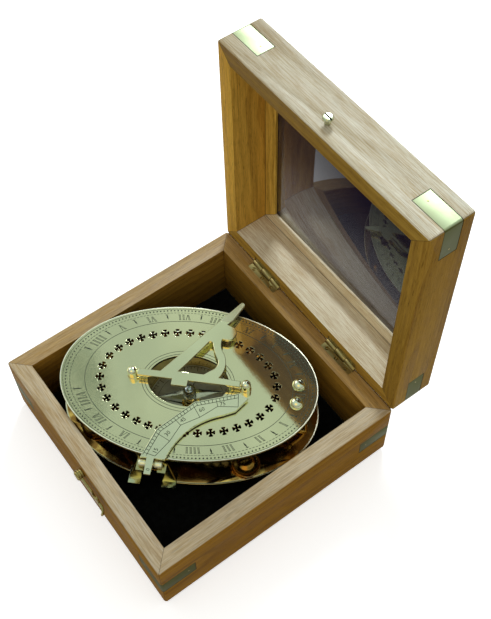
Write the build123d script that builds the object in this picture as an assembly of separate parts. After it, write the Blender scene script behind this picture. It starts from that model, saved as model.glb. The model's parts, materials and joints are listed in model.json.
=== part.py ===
from build123d import *
import math
import os

# A square glazed hardwood box, its lid standing open, with a folding oval dial and compass of brass inside.
# Millimetres. The origin is the middle of the box's underside, +Z is up, the hook side faces -Y and the
# hinges are on +Y. The dial lies along the diagonal from the left front corner to the right back corner.

# Driving dimensions of the box
BOX = 160.0
BASE_H = 48.5
LID_H = 27.7
WALL = 10.7
HALF = BOX / 2
INNER = HALF - WALL
RIM_GAP = 0.1
CORNER_R = 1.6
FOOT_R = 4.0
ARRIS_R = 1.0
LIP_R = 0.5

# Floor and lining
FLOOR_T = 6.0
FLOOR_LET_IN = 4.0
LINING_T = 2.0
LINING_TOP = FLOOR_T + LINING_T

# Lid frame and pane: depths are measured from the lid's rim
FRAME_DEPTH = 22.4
FRAME_LET_IN = 4.0
FRAME_SHOWS = 9.5
PANE_DEPTH = 24.2
PANE_T = 2.0
PANE_LET_IN = 2.5

# Brass corner straps
STRAP_LEG = 22.0
STRAP_W = 11.0
STRAP_T = 1.0
LID_STRAP_MID = 14.4
BASE_STRAP_MID = 26.0

# Butt hinges with a stop heel
HINGE_AT = (("left", -37.7), ("right", 34.2))
HINGE_L = 25.4
LEAF_W = 5.5
LEAF_T = 1.1
KNUCKLE_R = 2.0
HINGE_PIN_R = 1.0
RUN = 0.04
HEEL = 6.0
MIDDLE_L = 8.4
KNUCKLE_GAP = 0.2
BARREL_CLEAR = 0.35

# Hook and catch
HOOK_X = 3.0
HOOK_Z = 41.0
CATCH_X = -1.5
CATCH_H = 8.2
HOOK_T = 1.3
HOOK_OFF = 1.65
HOOK_EYE_R = 3.2
HOOK_BORE_R = 1.55
HOOK_BAR_W = 3.4
SCREW_R = 1.5
SCREW_IN = 7.0
SLOT_W = 0.8
SLOT_DEPTH = 0.6
HEAD_H = 1.6
SEAT_R = 1.8
TAIL_END = 27.5

# Where the instrument stands in the box
DIAL_AT = (-3.6, -2.9)
DIAL_TURN = 45.0

# Dial plate and lower plate, both oval
DIAL_A = 75.0
DIAL_B = 50.0
DIAL_T = 2.0
DIAL_TOP = 53.0
DIAL_LOW = DIAL_TOP - DIAL_T
HOLE_A = 23.5
HOLE_B = 16.6
PLATE_A = 76.5
PLATE_B = 51.0
PLATE_T = 2.2
PLATE_TOP = 24.0

# Compass
BOWL_R = 27.5
BOWL_WALL = 1.5
BOWL_FLOOR = 1.5
BOWL_TOP = DIAL_LOW - 0.1
CARD_T = 0.8
PILLAR_R = 3.6
PILLAR_TOP = 35.0
POINT_R = 0.6
POINT_TOP = 40.0
NEEDLE_Z = 36.0
NEEDLE_T = 1.0
NEEDLE_HALF = 20.0
NEEDLE_W = 8.0
NEEDLE_TURN = 12.5
CAP_R = 3.8
CAP_TOP = 44.0

# Hinge of the dial, under its noon end
DIAL_HINGE_U = 70.0
DIAL_HINGE_Z = 48.6
DIAL_KNUCKLE_R = 2.2
DIAL_HINGE_W = 18.0
DIAL_MIDDLE = 6.0
DOME_U = 63.5
DOME_V = 6.0
DOME_R = 3.9
DOME_H = 3.4

# Gnomon and its posts
POST_U = (-32.2, 33.8)
POST_V = -0.8
POST_R = 2.8
POST_TOP = 60.4
GNOMON_Z = 56.4
GNOMON_T = 2.0
GNOMON_AXIS_Z = 56.7
BARREL_R = 1.6
BARREL_L = 5.5
PIVOT_R = 0.9

# Latitude arm: a bent plate, its inner edge an arc, its outer edge three straight runs that end in a tip
ARM_CENTRE = (37.7, -60.0)
ARM_IN = 42.0
ARM_EDGE = ((30.7, -5.6), (6.4, -14.5), (-11.5, -33.9), (-17.2, -51.8))
ARM_Z = 54.2
ARM_T = 1.8
ARM_ROOT_V = -51.8
TONGUE_U = (-13.6, -9.5)
TONGUE_END = -61.6
BAR_V = -53.6
BAR_Z = 51.8
BAR_R = 2.0
BAR_U = (-18.2, -4.7)
NECK_R = 1.2
RING_R = 2.2
RING_INSET = 0.25
RING_OFF = 0.8
STEM_HALF = 0.6
ARM_TIP = ((30.2, -17.0), (36.2, -8.4))

# Brackets on the lower plate: the foot's limits along u, then those of the seat under the cross bar
BRACKETS = (("left", (-27.0, -20.0), (-19.5, -14.9)), ("right", (-7.5, 0.7), (-7.4, -2.8)))
BRACKET_T = 1.0
BRACKET_V = -50.4
FOOT_V = (-55.0, -44.0)
SEAT_END = -57.0
SEAT_GAP = 0.4
NOTCH_DEPTH = 6.0

# Levelling screws
SCREW_AT = ((38.5, 35.0), (38.5, -35.0), (-53.0, 23.0), (-53.0, -23.0))
KNOB_R = 8.0
KNOB_H = 4.6
SHANK_R = 2.0

nodes = {}


def block(x0, x1, y0, y1, z0, z1):
    """A box from its limits."""
    return Pos((x0 + x1) / 2, (y0 + y1) / 2, (z0 + z1) / 2) * Box(x1 - x0, y1 - y0, z1 - z0)


def rod(radius, z0, z1, x=0.0, y=0.0):
    """An upright cylinder."""
    return Pos(x, y, (z0 + z1) / 2) * Cylinder(radius, z1 - z0)


def bar_x(radius, x0, x1, y, z):
    """A cylinder along X."""
    return Pos((x0 + x1) / 2, y, z) * Rot(0, 90, 0) * Cylinder(radius, x1 - x0)


def bar_y(radius, y0, y1, x, z):
    """A cylinder along Y."""
    return Pos(x, (y0 + y1) / 2, z) * Rot(90, 0, 0) * Cylinder(radius, y1 - y0)


def slab(outline, z0, z1):
    """A flat plate from a closed outline drawn at z = 0."""
    return Pos(0, 0, z0) * extrude(make_face(outline), z1 - z0)


def oval(a, b, z0, z1):
    return Pos(0, 0, z0) * extrude(Ellipse(a, b), z1 - z0)


def turned(points):
    """A solid of revolution about Z, from (radius, z) points."""
    profile = make_face(Polyline(*[(r, 0, z) for r, z in points], close=True))
    return revolve(profile, Axis.Z)


def opened(shape):
    """The lid's pieces are drawn with the lid shut and swung open by a right angle."""
    return shape.rotate(Axis((0, HALF, BASE_H), (1, 0, 0)), -90)


def seated(shape):
    """From the instrument's own frame, long axis along X, to the box's."""
    return Pos(DIAL_AT[0], DIAL_AT[1], 0) * Rot(0, 0, DIAL_TURN) * shape


# Woodwork


def wedge(z0, z1):
    """The share of a square frame that belongs to its -Y side, cut at 45 degrees at both ends."""
    far = HALF + 1
    near = HALF - 30
    outline = Polyline((-far, -far), (far, -far), (near, -near), (-near, -near), close=True)
    return slab(outline, z0, z1)


SIDES = {"front": 0, "right": 90, "back": 180, "left": 270}


def hinge_edge(z0, z1):
    """Makes the rim's outer edge on the hinge side sharp, so that base and open lid meet closely."""
    run = HALF - CORNER_R
    return block(-run, run, HALF - 2 * LIP_R, HALF, z0, z1)


def base_blank():
    body = block(-HALF, HALF, -HALF, HALF, 0, BASE_H - RIM_GAP)
    body = fillet(body.edges().filter_by(Axis.Z), CORNER_R)
    body = fillet(body.faces().sort_by(Axis.Z)[0].edges(), FOOT_R)
    body = chamfer(body.faces().sort_by(Axis.Z)[-1].edges(), LIP_R)
    return body + hinge_edge(BASE_H - 2 * LIP_R, BASE_H - RIM_GAP)


def lid_blank():
    body = block(-HALF, HALF, -HALF, HALF, BASE_H + RIM_GAP, BASE_H + LID_H)
    body = fillet(body.edges().filter_by(Axis.Z), CORNER_R)
    body = fillet(body.faces().sort_by(Axis.Z)[-1].edges(), ARRIS_R)
    body = chamfer(body.faces().sort_by(Axis.Z)[0].edges(), LIP_R)
    return body + hinge_edge(BASE_H + RIM_GAP, BASE_H + 2 * LIP_R)


def strap_ring(middle):
    """A band let into the four corners, flush with the wood."""
    low = middle - STRAP_W / 2
    high = middle + STRAP_W / 2
    outer = fillet(block(-HALF, HALF, -HALF, HALF, low, high).edges().filter_by(Axis.Z), CORNER_R)
    skin = HALF - STRAP_T
    inner = block(-skin, skin, -skin, skin, low - 1, high + 1)
    inner = fillet(inner.edges().filter_by(Axis.Z), CORNER_R - STRAP_T)
    return outer - inner


def corner_share(sx, sy, z0, z1):
    far = HALF + 1
    near = HALF - STRAP_LEG
    x = sorted((sx * near, sx * far))
    y = sorted((sy * near, sy * far))
    return block(x[0], x[1], y[0], y[1], z0, z1)


CORNERS = {"front_left": (-1, -1), "front_right": (1, -1), "back_right": (1, 1), "back_left": (-1, 1)}


def straps(prefix, middle, place):
    ring = strap_ring(middle)
    made = []
    for name, (sx, sy) in CORNERS.items():
        strap = ring & corner_share(sx, sy, middle - STRAP_W, middle + STRAP_W)
        made.append(strap)
        nodes[f"{prefix}_strap_{name}"] = place(strap)
    return made


def hinge_leaf(shut_up):
    """A leaf with its knuckles, at x = 0, lid shut; shut_up is +1 for the lid's and -1 for the base's."""
    z0 = BASE_H + RIM_GAP if shut_up > 0 else BASE_H - RIM_GAP - LEAF_T
    edge = HALF - KNUCKLE_R - BARREL_CLEAR
    half = HINGE_L / 2
    mid = MIDDLE_L / 2
    leaf = block(-half, half, HALF - LEAF_W, edge, z0, z0 + LEAF_T)
    if shut_up > 0:
        spans = [(-mid, mid)]
        bore = HINGE_PIN_R + RUN
    else:
        spans = [(-half, -mid - KNUCKLE_GAP), (mid + KNUCKLE_GAP, half)]
        bore = HINGE_PIN_R
    for x0, x1 in spans:
        leaf += block(x0, x1, edge - 0.5, HALF, z0, z0 + LEAF_T)
        leaf += bar_x(KNUCKLE_R, x0, x1, HALF, BASE_H)
        if shut_up > 0:
            leaf += block(x0, x1, HALF, HALF + HEEL, z0, z0 + LEAF_T)
        leaf -= bar_x(bore, x0 - 1, x1 + 1, HALF, BASE_H)
    return leaf


def hinge_mortise(x, shut_up):
    """What the leaf and the knuckles take out of the rim."""
    half = HINGE_L / 2
    z0 = BASE_H if shut_up > 0 else BASE_H - RIM_GAP - LEAF_T
    z1 = BASE_H + RIM_GAP + LEAF_T if shut_up > 0 else BASE_H
    room = block(x - half, x + half, HALF - LEAF_W, HALF + 1, z0, z1)
    return room + bar_x(KNUCKLE_R + BARREL_CLEAR, x - half - 0.2, x + half + 0.2, HALF, BASE_H)


def base_box():
    strap_solids = straps("base", BASE_STRAP_MID, lambda s: s)
    blank = base_blank()
    blank -= block(-INNER, INNER, -INNER, INNER, -1, BASE_H + 1)
    let = INNER + FLOOR_LET_IN
    blank -= block(-let, let, -let, let, -1, FLOOR_T)
    for strap in strap_solids:
        blank -= strap
    for _, x in HINGE_AT:
        blank -= hinge_mortise(x, -1)
    blank -= bar_y(SCREW_R, -HALF - 1, -HALF + SCREW_IN, HOOK_X, HOOK_Z)
    share = wedge(-1, BASE_H + 1)
    for side, turn in SIDES.items():
        nodes[f"base_wall_{side}"] = blank & (Rot(0, 0, turn) * share)
    nodes["base_floor"] = block(-let, let, -let, let, 0, FLOOR_T)
    pad = INNER - 0.2
    lining = block(-pad, pad, -pad, pad, FLOOR_T, LINING_TOP)
    nodes["floor_lining"] = fillet(lining.edges().filter_by(Axis.Z), 1.5)


def lid_box():
    strap_solids = straps("lid", BASE_H + LID_STRAP_MID, opened)
    top = BASE_H + LID_H
    blank = lid_blank()
    blank -= block(-INNER, INNER, -INNER, INNER, BASE_H, top + 1)
    let = INNER + FRAME_LET_IN
    blank -= block(-let, let, -let, let, BASE_H + FRAME_DEPTH, top + 1)
    for strap in strap_solids:
        blank -= strap
    for _, x in HINGE_AT:
        blank -= hinge_mortise(x, 1)
    blank -= bar_y(SCREW_R, -HALF - 1, -HALF + SCREW_IN, CATCH_X, BASE_H + CATCH_H)
    share = wedge(BASE_H - 1, top + 1)
    frame = block(-let, let, -let, let, BASE_H + FRAME_DEPTH, top - 0.3)
    sight = INNER - FRAME_SHOWS
    frame -= block(-sight, sight, -sight, sight, BASE_H, top + 1)
    hold = sight + PANE_LET_IN
    pane = block(-hold, hold, -hold, hold, BASE_H + PANE_DEPTH, BASE_H + PANE_DEPTH + PANE_T)
    frame -= pane
    for side, turn in SIDES.items():
        cut = Rot(0, 0, turn) * share
        nodes[f"lid_wall_{side}"] = opened(blank & cut)
        nodes[f"lid_rail_{side}"] = opened(frame & cut)
    nodes["lid_pane"] = opened(pane)


def hinges():
    for name, x in HINGE_AT:
        half = HINGE_L / 2
        nodes[f"hinge_{name}_base_leaf"] = Pos(x, 0, 0) * hinge_leaf(-1)
        nodes[f"hinge_{name}_lid_leaf"] = opened(Pos(x, 0, 0) * hinge_leaf(1))
        nodes[f"hinge_{name}_pin"] = bar_x(HINGE_PIN_R, x - half, x + half, HALF, BASE_H)


# Hook and catch


def hook_reach():
    return math.hypot(CATCH_X - HOOK_X, BASE_H + CATCH_H - HOOK_Z)


def hook():
    """Drawn lying along +X from its eye, with its mouth open upwards, in front of the wall."""
    reach = hook_reach()
    bar = Pos(reach / 2, -1.2) * Rectangle(reach, HOOK_BAR_W)
    body = Circle(HOOK_EYE_R) + bar + Pos(reach + 0.3, -0.9) * Circle(4.2)
    body += Pos(reach + 4.4, -1.9) * Rectangle(5, 2.6)
    body -= Pos(reach, 4) * Rectangle(2 * SEAT_R, 8)
    body -= Pos(reach, 0) * Circle(SEAT_R)
    body -= Circle(HOOK_BORE_R)
    plate = extrude(body, HOOK_T)
    front = HOOK_OFF + HOOK_T
    x0 = reach + 5.5
    tail = make_face(
        Line((x0, HOOK_OFF), (x0, front))
        + ThreePointArc((x0, front), (x0 + 3, front + 0.5), (TAIL_END - 0.4, front + 2.4))
        + Line((TAIL_END - 0.4, front + 2.4), (TAIL_END, front + 1.2))
        + ThreePointArc((TAIL_END, front + 1.2), (x0 + 3.2, HOOK_OFF + 0.4), (x0, HOOK_OFF))
    )
    tail = Pos(0, 0, -3.2) * extrude(tail, 2.6)
    # plate is drawn in XY and stood up so that its Y is up and its thickness runs towards -Y
    plate = Pos(0, -HOOK_OFF, 0) * Rot(90, 0, 0) * plate
    tail = mirror(tail, Plane.XZ)
    return Pos(HOOK_X, -HALF, HOOK_Z) * (plate + tail)


def round_screw(x, z, collar, head_gap, head_r):
    """A round head on a plain shank: collar is the shoulder's length, head_gap the head's distance off."""
    y = -HALF
    head_h = HEAD_H
    shank = bar_y(SCREW_R, y - head_gap, y + SCREW_IN, x, z)
    head = bar_y(head_r, y - head_gap - head_h, y - head_gap, x, z)
    head = chamfer(head.edges().sort_by(Axis.Y)[0], head_h * 0.4)
    face = y - head_gap - head_h
    slot = SLOT_W / 2
    head -= block(x - head_r - 1, x + head_r + 1, face - 1, face + SLOT_DEPTH, z - slot, z + slot)
    if collar:
        head += bar_y(2.7, y - collar, y, x, z)
    return shank + head


def hook_and_catch():
    nodes["latch_hook"] = hook()
    nodes["hook_screw"] = round_screw(HOOK_X, HOOK_Z, 1.6, HOOK_OFF + HOOK_T + 0.05, 3.0)
    pin = round_screw(CATCH_X, BASE_H + CATCH_H, 0, HOOK_OFF + HOOK_T + 0.25, 2.8)
    nodes["catch_pin"] = opened(pin)


# The instrument, drawn with its long axis along X


def lower_plate():
    plate = oval(PLATE_A, PLATE_B, PLATE_TOP - PLATE_T, PLATE_TOP)
    u0 = BRACKETS[0][1][1]
    u1 = BRACKETS[1][1][0]
    plate -= block(u0, u1, -PLATE_B - 1, -PLATE_B + NOTCH_DEPTH, PLATE_TOP - 5, PLATE_TOP + 1)
    for u, v in SCREW_AT:
        plate -= rod(SHANK_R + RUN, PLATE_TOP - 5, PLATE_TOP + 1, u, v)
    return plate


def bracket(foot, seat):
    """A leaning strip from the plate's edge up to a seat turned outwards under the cross bar."""
    seat_top = BAR_Z - BAR_R - SEAT_GAP
    body = block(foot[0], foot[1], FOOT_V[0], FOOT_V[1], PLATE_TOP, PLATE_TOP + BRACKET_T)
    strip = Polyline(
        (foot[0], PLATE_TOP),
        (foot[1], PLATE_TOP),
        (seat[1], seat_top),
        (seat[0], seat_top),
        close=True,
    )
    body += extrude(Plane.XZ.offset(-BRACKET_V) * make_face(strip), BRACKET_T)
    return body + block(seat[0], seat[1], SEAT_END, BRACKET_V, seat_top - BRACKET_T, seat_top)


def compass():
    floor_top = PLATE_TOP + BOWL_FLOOR
    bowl = rod(BOWL_R, PLATE_TOP, BOWL_TOP) - rod(BOWL_R - BOWL_WALL, floor_top, BOWL_TOP + 1)
    rim = bowl.edges().filter_by(GeomType.CIRCLE).group_by(Axis.Z)[-1]
    nodes["compass_bowl"] = seated(chamfer(rim, 0.3))
    card_top = floor_top + CARD_T
    nodes["compass_card"] = seated(rod(BOWL_R - BOWL_WALL - 0.2, floor_top, card_top))
    pillar = turned(
        [
            (0, card_top),
            (5.4, card_top),
            (5.4, card_top + 1.2),
            (PILLAR_R, card_top + 2.2),
            (PILLAR_R, PILLAR_TOP - 1),
            (PILLAR_R - 1, PILLAR_TOP),
            (POINT_R, PILLAR_TOP),
            (POINT_R, POINT_TOP - 0.8),
            (0, POINT_TOP),
        ]
    )
    nodes["compass_pillar"] = seated(pillar)


def needle():
    half = NEEDLE_HALF
    outline = Polyline((-half, 0), (0, -NEEDLE_W / 2), (half, 0), (0, NEEDLE_W / 2), close=True)
    blade = slab(outline, NEEDLE_Z, NEEDLE_Z + NEEDLE_T)
    bore = rod(POINT_R + 0.08, NEEDLE_Z - 1, POINT_TOP + 0.4)
    blade -= rod(CAP_R - 0.8, NEEDLE_Z - 1, NEEDLE_Z + NEEDLE_T + 1)
    nodes["needle_blade"] = seated(Rot(0, 0, NEEDLE_TURN) * blade)
    low = NEEDLE_Z - 0.4
    cap = turned(
        [
            (0, low),
            (CAP_R - 0.8, low),
            (CAP_R - 0.8, NEEDLE_Z + NEEDLE_T),
            (CAP_R, NEEDLE_Z + NEEDLE_T),
            (CAP_R, CAP_TOP - 2.2),
            (CAP_R - 1.3, CAP_TOP - 0.5),
            (0, CAP_TOP),
        ]
    )
    nodes["needle_cap"] = seated(cap - bore)


def dial_hinge():
    half = DIAL_HINGE_W / 2
    mid = DIAL_MIDDLE / 2
    u = DIAL_HINGE_U
    z = DIAL_HINGE_Z
    r = DIAL_KNUCKLE_R
    spans = [(-half, -mid - KNUCKLE_GAP), (mid + KNUCKLE_GAP, half)]
    post = block(u - 10, u + 0.7, -half, half, PLATE_TOP, PLATE_TOP + 1.4)
    post += block(u - 0.7, u + 0.7, -half, half, PLATE_TOP, z - r - 0.35)
    for v0, v1 in spans:
        post += bar_y(r, v0, v1, u, z)
        post += block(u - 0.7, u + 0.7, v0, v1, z - r - 1, z - r + 0.8)
        post -= bar_y(HINGE_PIN_R, v0 - 1, v1 + 1, u, z)
    nodes["dial_hinge_post"] = seated(post)
    leaf = block(u - 14, u - r - 0.35, -half + 0.5, half - 0.5, DIAL_LOW - LEAF_T, DIAL_LOW)
    leaf += block(u - r - 1, u, -mid, mid, DIAL_LOW - LEAF_T, DIAL_LOW)
    leaf += bar_y(r, -mid, mid, u, z)
    leaf -= bar_y(HINGE_PIN_R + RUN, -mid - 1, mid + 1, u, z)
    for v in (-DOME_V, DOME_V):
        leaf -= rod(1.2, DIAL_LOW - 3, DIAL_LOW + 1, DOME_U, v)
    nodes["dial_hinge_leaf"] = seated(leaf)
    nodes["dial_hinge_pin"] = seated(bar_y(HINGE_PIN_R, -half, half, u, z))


def dome_nut(v):
    ball_r = (DOME_R**2 + DOME_H**2) / (2 * DOME_H)
    cap = Pos(DOME_U, v, DIAL_TOP + DOME_H - ball_r) * Sphere(ball_r)
    cap &= block(DOME_U - 9, DOME_U + 9, v - 9, v + 9, DIAL_TOP, DIAL_TOP + 9)
    return cap + rod(1.2, DIAL_LOW - LEAF_T, DIAL_TOP + 0.5, DOME_U, v)


def dial_plate():
    plate = oval(DIAL_A, DIAL_B, DIAL_LOW, DIAL_TOP)
    plate = chamfer(plate.edges().group_by(Axis.Z)[-1], 0.3)
    plate -= oval(HOLE_A, HOLE_B, DIAL_LOW - 1, DIAL_TOP + 1)
    for v in (-DOME_V, DOME_V):
        plate -= rod(1.2, DIAL_LOW - 1, DIAL_TOP + 1, DOME_U, v)
    return plate


def gnomon_post(u):
    body = rod(POST_R, DIAL_TOP, POST_TOP - POST_R * 0.7, u, POST_V)
    cap = Pos(u, POST_V, POST_TOP - POST_R) * Sphere(POST_R)
    body += cap
    return body - bar_x(PIVOT_R, u - 5, u + 5, POST_V, GNOMON_AXIS_Z)


def gnomon():
    """A slender triangle: a foot bar between the posts, a tapered style and a curled strut."""
    low = -2.7
    high = 1.4
    ends = (POST_U[0] + POST_R + 0.5, POST_U[1] - POST_R - 0.5)
    outline = (
        Polyline((-16.1, high), (ends[0], high), (ends[0], low), (-8.6, low), (-8.6, -6.6), (0.6, -6.6))
        + Polyline((0.6, -6.6), (0.6, low), (ends[1], low), (ends[1], 0.9), (18.0, high))
        + ThreePointArc((18.0, high), (20.4, 9.2), (18.3, 17.5))
        + ThreePointArc((18.3, 17.5), (15.9, 22.3), (15.8, 27.2))
        + ThreePointArc((15.8, 27.2), (20.6, 27.6), (23.3, 31.6))
        + ThreePointArc((23.3, 31.6), (22.6, 34.6), (19.9, 36.3))
        + Polyline((19.9, 36.3), (17.4, 37.3), (20.3, 41.3), (24.9, 51.1))
        + ThreePointArc((24.9, 51.1), (25.0, 53.0), (23.2, 53.9))
        + Line((23.2, 53.9), (-16.1, high))
    )
    window = (
        Line((-5.9, 2.4), (8.3, 24.5))
        + ThreePointArc((8.3, 24.5), (9.8, 24.6), (10.9, 22.9))
        + ThreePointArc((10.9, 22.9), (13.0, 17.4), (15.6, 12.7))
        + ThreePointArc((15.6, 12.7), (15.4, 8.6), (12.7, 5.6))
        + Line((12.7, 5.6), (8.9, 2.4))
        + Line((8.9, 2.4), (-5.9, 2.4))
    )
    body = slab(outline, GNOMON_Z, GNOMON_Z + GNOMON_T)
    body -= slab(window, GNOMON_Z - 1, GNOMON_Z + GNOMON_T + 1)
    spans = ((ends[0], ends[0] + BARREL_L), (ends[1] - BARREL_L, ends[1]))
    for u0, u1 in spans:
        body += bar_x(BARREL_R, u0, u1, POST_V, GNOMON_AXIS_Z)
    for u0, u1 in spans:
        body -= bar_x(PIVOT_R + RUN, u0 - 1, u1 + 1, POST_V, GNOMON_AXIS_Z)
    return body


def gnomon_pivots():
    left, right = POST_U
    reach = POST_R + 0.5 + BARREL_L
    nodes["gnomon_pivot_left"] = seated(bar_x(PIVOT_R, left - POST_R, left + reach, POST_V, GNOMON_AXIS_Z))
    nodes["gnomon_pivot_right"] = seated(bar_x(PIVOT_R, right - reach, right + POST_R, POST_V, GNOMON_AXIS_Z))


def on_arc(radius, angle):
    t = math.radians(angle)
    return (ARM_CENTRE[0] + radius * math.cos(t), ARM_CENTRE[1] + radius * math.sin(t))


def level_angle(radius):
    """Angle at which the arc of this radius meets the arm's root."""
    return 180 - math.degrees(math.asin((ARM_ROOT_V - ARM_CENTRE[1]) / radius))


def latitude_arm():
    root = level_angle(ARM_IN)
    inner = ThreePointArc(on_arc(ARM_IN, root), on_arc(ARM_IN, 140), on_arc(ARM_IN, 110))
    outer = Polyline(on_arc(ARM_IN, 110), *ARM_TIP, *ARM_EDGE, on_arc(ARM_IN, root))
    outline = inner + outer
    body = slab(outline, ARM_Z, ARM_Z + ARM_T)
    u0, u1 = TONGUE_U
    body += block(u0, u1, TONGUE_END, ARM_ROOT_V + 0.5, ARM_Z, ARM_Z + ARM_T)
    mid = (u0 + u1) / 2
    body += block(mid - STEM_HALF, mid + STEM_HALF, BAR_V - 1.1, BAR_V + 1.1, BAR_Z, ARM_Z)
    bar = bar_x(BAR_R, BAR_U[0], u0 - 0.1, BAR_V, BAR_Z)
    bar += bar_x(BAR_R, u1 + 0.1, BAR_U[1], BAR_V, BAR_Z)
    bar += bar_x(NECK_R, BAR_U[0] + 1, BAR_U[1] - 1, BAR_V, BAR_Z)
    return body + bar


def arm_hinge_plate():
    """Riveted under the dial's edge, its two rings hold the neck of the arm's cross bar."""
    u0, u1 = TONGUE_U
    mid = (u0 + u1) / 2
    spans = ((u0 + RING_INSET, mid - RING_OFF), (mid + RING_OFF, u1 - RING_INSET))
    plate = block(u0 + RING_INSET, u1 - RING_INSET, -BAR_R - 48.2, -40.5, DIAL_LOW - LEAF_T, DIAL_LOW)
    for s0, s1 in spans:
        plate += block(s0, s1, BAR_V, -49.0, DIAL_LOW - LEAF_T, DIAL_LOW)
        plate += bar_x(RING_R, s0, s1, BAR_V, BAR_Z)
    for s0, s1 in spans:
        plate -= bar_x(NECK_R + RUN, s0 - 1, s1 + 1, BAR_V, BAR_Z)
    return plate


def levelling_screw(u, v):
    knob_low = PLATE_TOP + 0.5
    profile = [
        (0, LINING_TOP),
        (3.2, LINING_TOP),
        (3.2, LINING_TOP + 1.2),
        (SHANK_R, LINING_TOP + 2.4),
        (SHANK_R, knob_low),
        (KNOB_R, knob_low),
        (KNOB_R, knob_low + KNOB_H - 1.2),
        (KNOB_R - 1.0, knob_low + KNOB_H),
        (4.6, knob_low + KNOB_H),
        (3.6, knob_low + KNOB_H + 1.0),
        (0, knob_low + KNOB_H + 1.4),
    ]
    return Pos(u, v, 0) * turned(profile)


def instrument():
    nodes["lower_plate"] = seated(lower_plate())
    for name, foot, seat in BRACKETS:
        nodes[f"arm_bracket_{name}"] = seated(bracket(foot, seat))
    compass()
    needle()
    dial_hinge()
    nodes["dial_plate"] = seated(dial_plate())
    nodes["dome_nut_near"] = seated(dome_nut(-DOME_V))
    nodes["dome_nut_far"] = seated(dome_nut(DOME_V))
    for name, u in (("left", POST_U[0]), ("right", POST_U[1])):
        nodes[f"gnomon_post_{name}"] = seated(gnomon_post(u))
    nodes["gnomon"] = seated(gnomon())
    gnomon_pivots()
    nodes["latitude_arm"] = seated(latitude_arm())
    nodes["arm_hinge_plate"] = seated(arm_hinge_plate())
    for i, (u, v) in enumerate(SCREW_AT):
        nodes[f"levelling_screw_{i + 1}"] = seated(levelling_screw(u, v))


base_box()
lid_box()
hinges()
hook_and_catch()
instrument()

os.makedirs("parts", exist_ok=True)
for name, shape in nodes.items():
    export_step(shape, f"parts/{name}.step")
print(len(nodes), "nodes")
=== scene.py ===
"""The looks of a glazed hardwood box, its lid standing open, with a folding oval dial and compass of brass.

Shapes are worked out in millimetres, the instrument's own along its long axis, and then put in place."""

import json
import math

import bmesh
import bpy
import numpy as np
from mathutils import Matrix, Vector
from mathutils.geometry import tessellate_polygon

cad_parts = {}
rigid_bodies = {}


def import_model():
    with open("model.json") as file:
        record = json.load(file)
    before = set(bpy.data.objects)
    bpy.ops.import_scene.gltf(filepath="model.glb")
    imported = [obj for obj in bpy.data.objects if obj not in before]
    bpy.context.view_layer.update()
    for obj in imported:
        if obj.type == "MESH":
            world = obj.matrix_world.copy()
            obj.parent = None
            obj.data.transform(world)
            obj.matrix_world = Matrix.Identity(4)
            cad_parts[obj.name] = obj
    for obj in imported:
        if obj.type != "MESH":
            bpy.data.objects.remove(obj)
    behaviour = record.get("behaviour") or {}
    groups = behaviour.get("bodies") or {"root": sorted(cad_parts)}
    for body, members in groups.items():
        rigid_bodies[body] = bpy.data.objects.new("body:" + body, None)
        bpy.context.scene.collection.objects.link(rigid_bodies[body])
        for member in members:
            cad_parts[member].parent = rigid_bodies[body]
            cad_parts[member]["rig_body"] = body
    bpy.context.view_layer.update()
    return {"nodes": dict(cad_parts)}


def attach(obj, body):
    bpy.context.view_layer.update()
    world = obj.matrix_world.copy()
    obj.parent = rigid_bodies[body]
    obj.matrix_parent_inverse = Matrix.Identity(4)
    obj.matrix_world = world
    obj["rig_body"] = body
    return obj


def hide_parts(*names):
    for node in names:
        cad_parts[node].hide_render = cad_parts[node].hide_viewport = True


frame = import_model()

# Sizes in millimetres, as the part has them
MM = 0.001
HALF = 80.0
INNER = 69.3
BASE_H = 48.5
LINING_LOW = 6.0
LINING_TOP = 8.0
FRAME_DEPTH = 22.4
STRAP_LID_MIDDLE = 14.4
STRAP_BASE_MIDDLE = 26.0
STRAP_HALF = 5.5
STRAP_STARTS = 58.0
HINGE_AT = (-37.7, 34.2)
CATCH_H = 8.2
CATCH_TOP = 213.3
DIAL_AT = (-3.6, -2.9)
DIAL_TURN = math.radians(45.0)
DIAL_A = 75.0
DIAL_B = 50.0
DIAL_TOP = 53.0
DIAL_LOW = 51.0
HOLE_A = 23.5
HOLE_B = 16.6
PLATE_TOP = 24.0
PLATE_EDGE_A = 76.3
PLATE_EDGE_B = 50.8
PLATE_EDGE_WIDE = 0.55
BOWL_R = 27.5
BOWL_TOP = 50.9
CARD_LOW = 25.5
CARD_TOP = 26.3
POST_U = (-32.2, 33.8)
POST_V = -0.8
POST_SHOULDER = 57.9
GNOMON_Z = 56.4
GNOMON_THICK = 2.0
GNOMON_AXIS_Z = 56.7
ARM_CENTRE = np.array([37.7, -60.0])
ARM_IN = 42.0
ARM_Z = 54.2
ARM_TOP = 56.0
BAR_V = -53.6
BAR_Z = 51.8
SCREW_AT = ((38.5, 35.0), (38.5, -35.0), (-53.0, 23.0), (-53.0, -23.0))

# How far dark filling stands out of an engraved surface, and how deep it goes
PROUD = 0.02
DEEP = 0.06


# Shapes: each is its points in millimetres and a list of face arrays


def joined(shapes):
    """Several shapes as one."""
    points, faces, offset = [], [], 0
    for own_points, own_faces in shapes:
        points.append(own_points)
        faces += [f + offset for f in own_faces]
        offset += len(own_points)
    return np.concatenate(points), faces


def wrapped(rows, count):
    """Quads between successive closed rows of count points."""
    r = np.arange(rows - 1)[:, None] * count
    c = np.arange(count)[None, :]
    d = (c + 1) % count
    return np.stack([r + c, r + count + c, r + count + d, r + d], -1).reshape(-1, 4)


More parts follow.
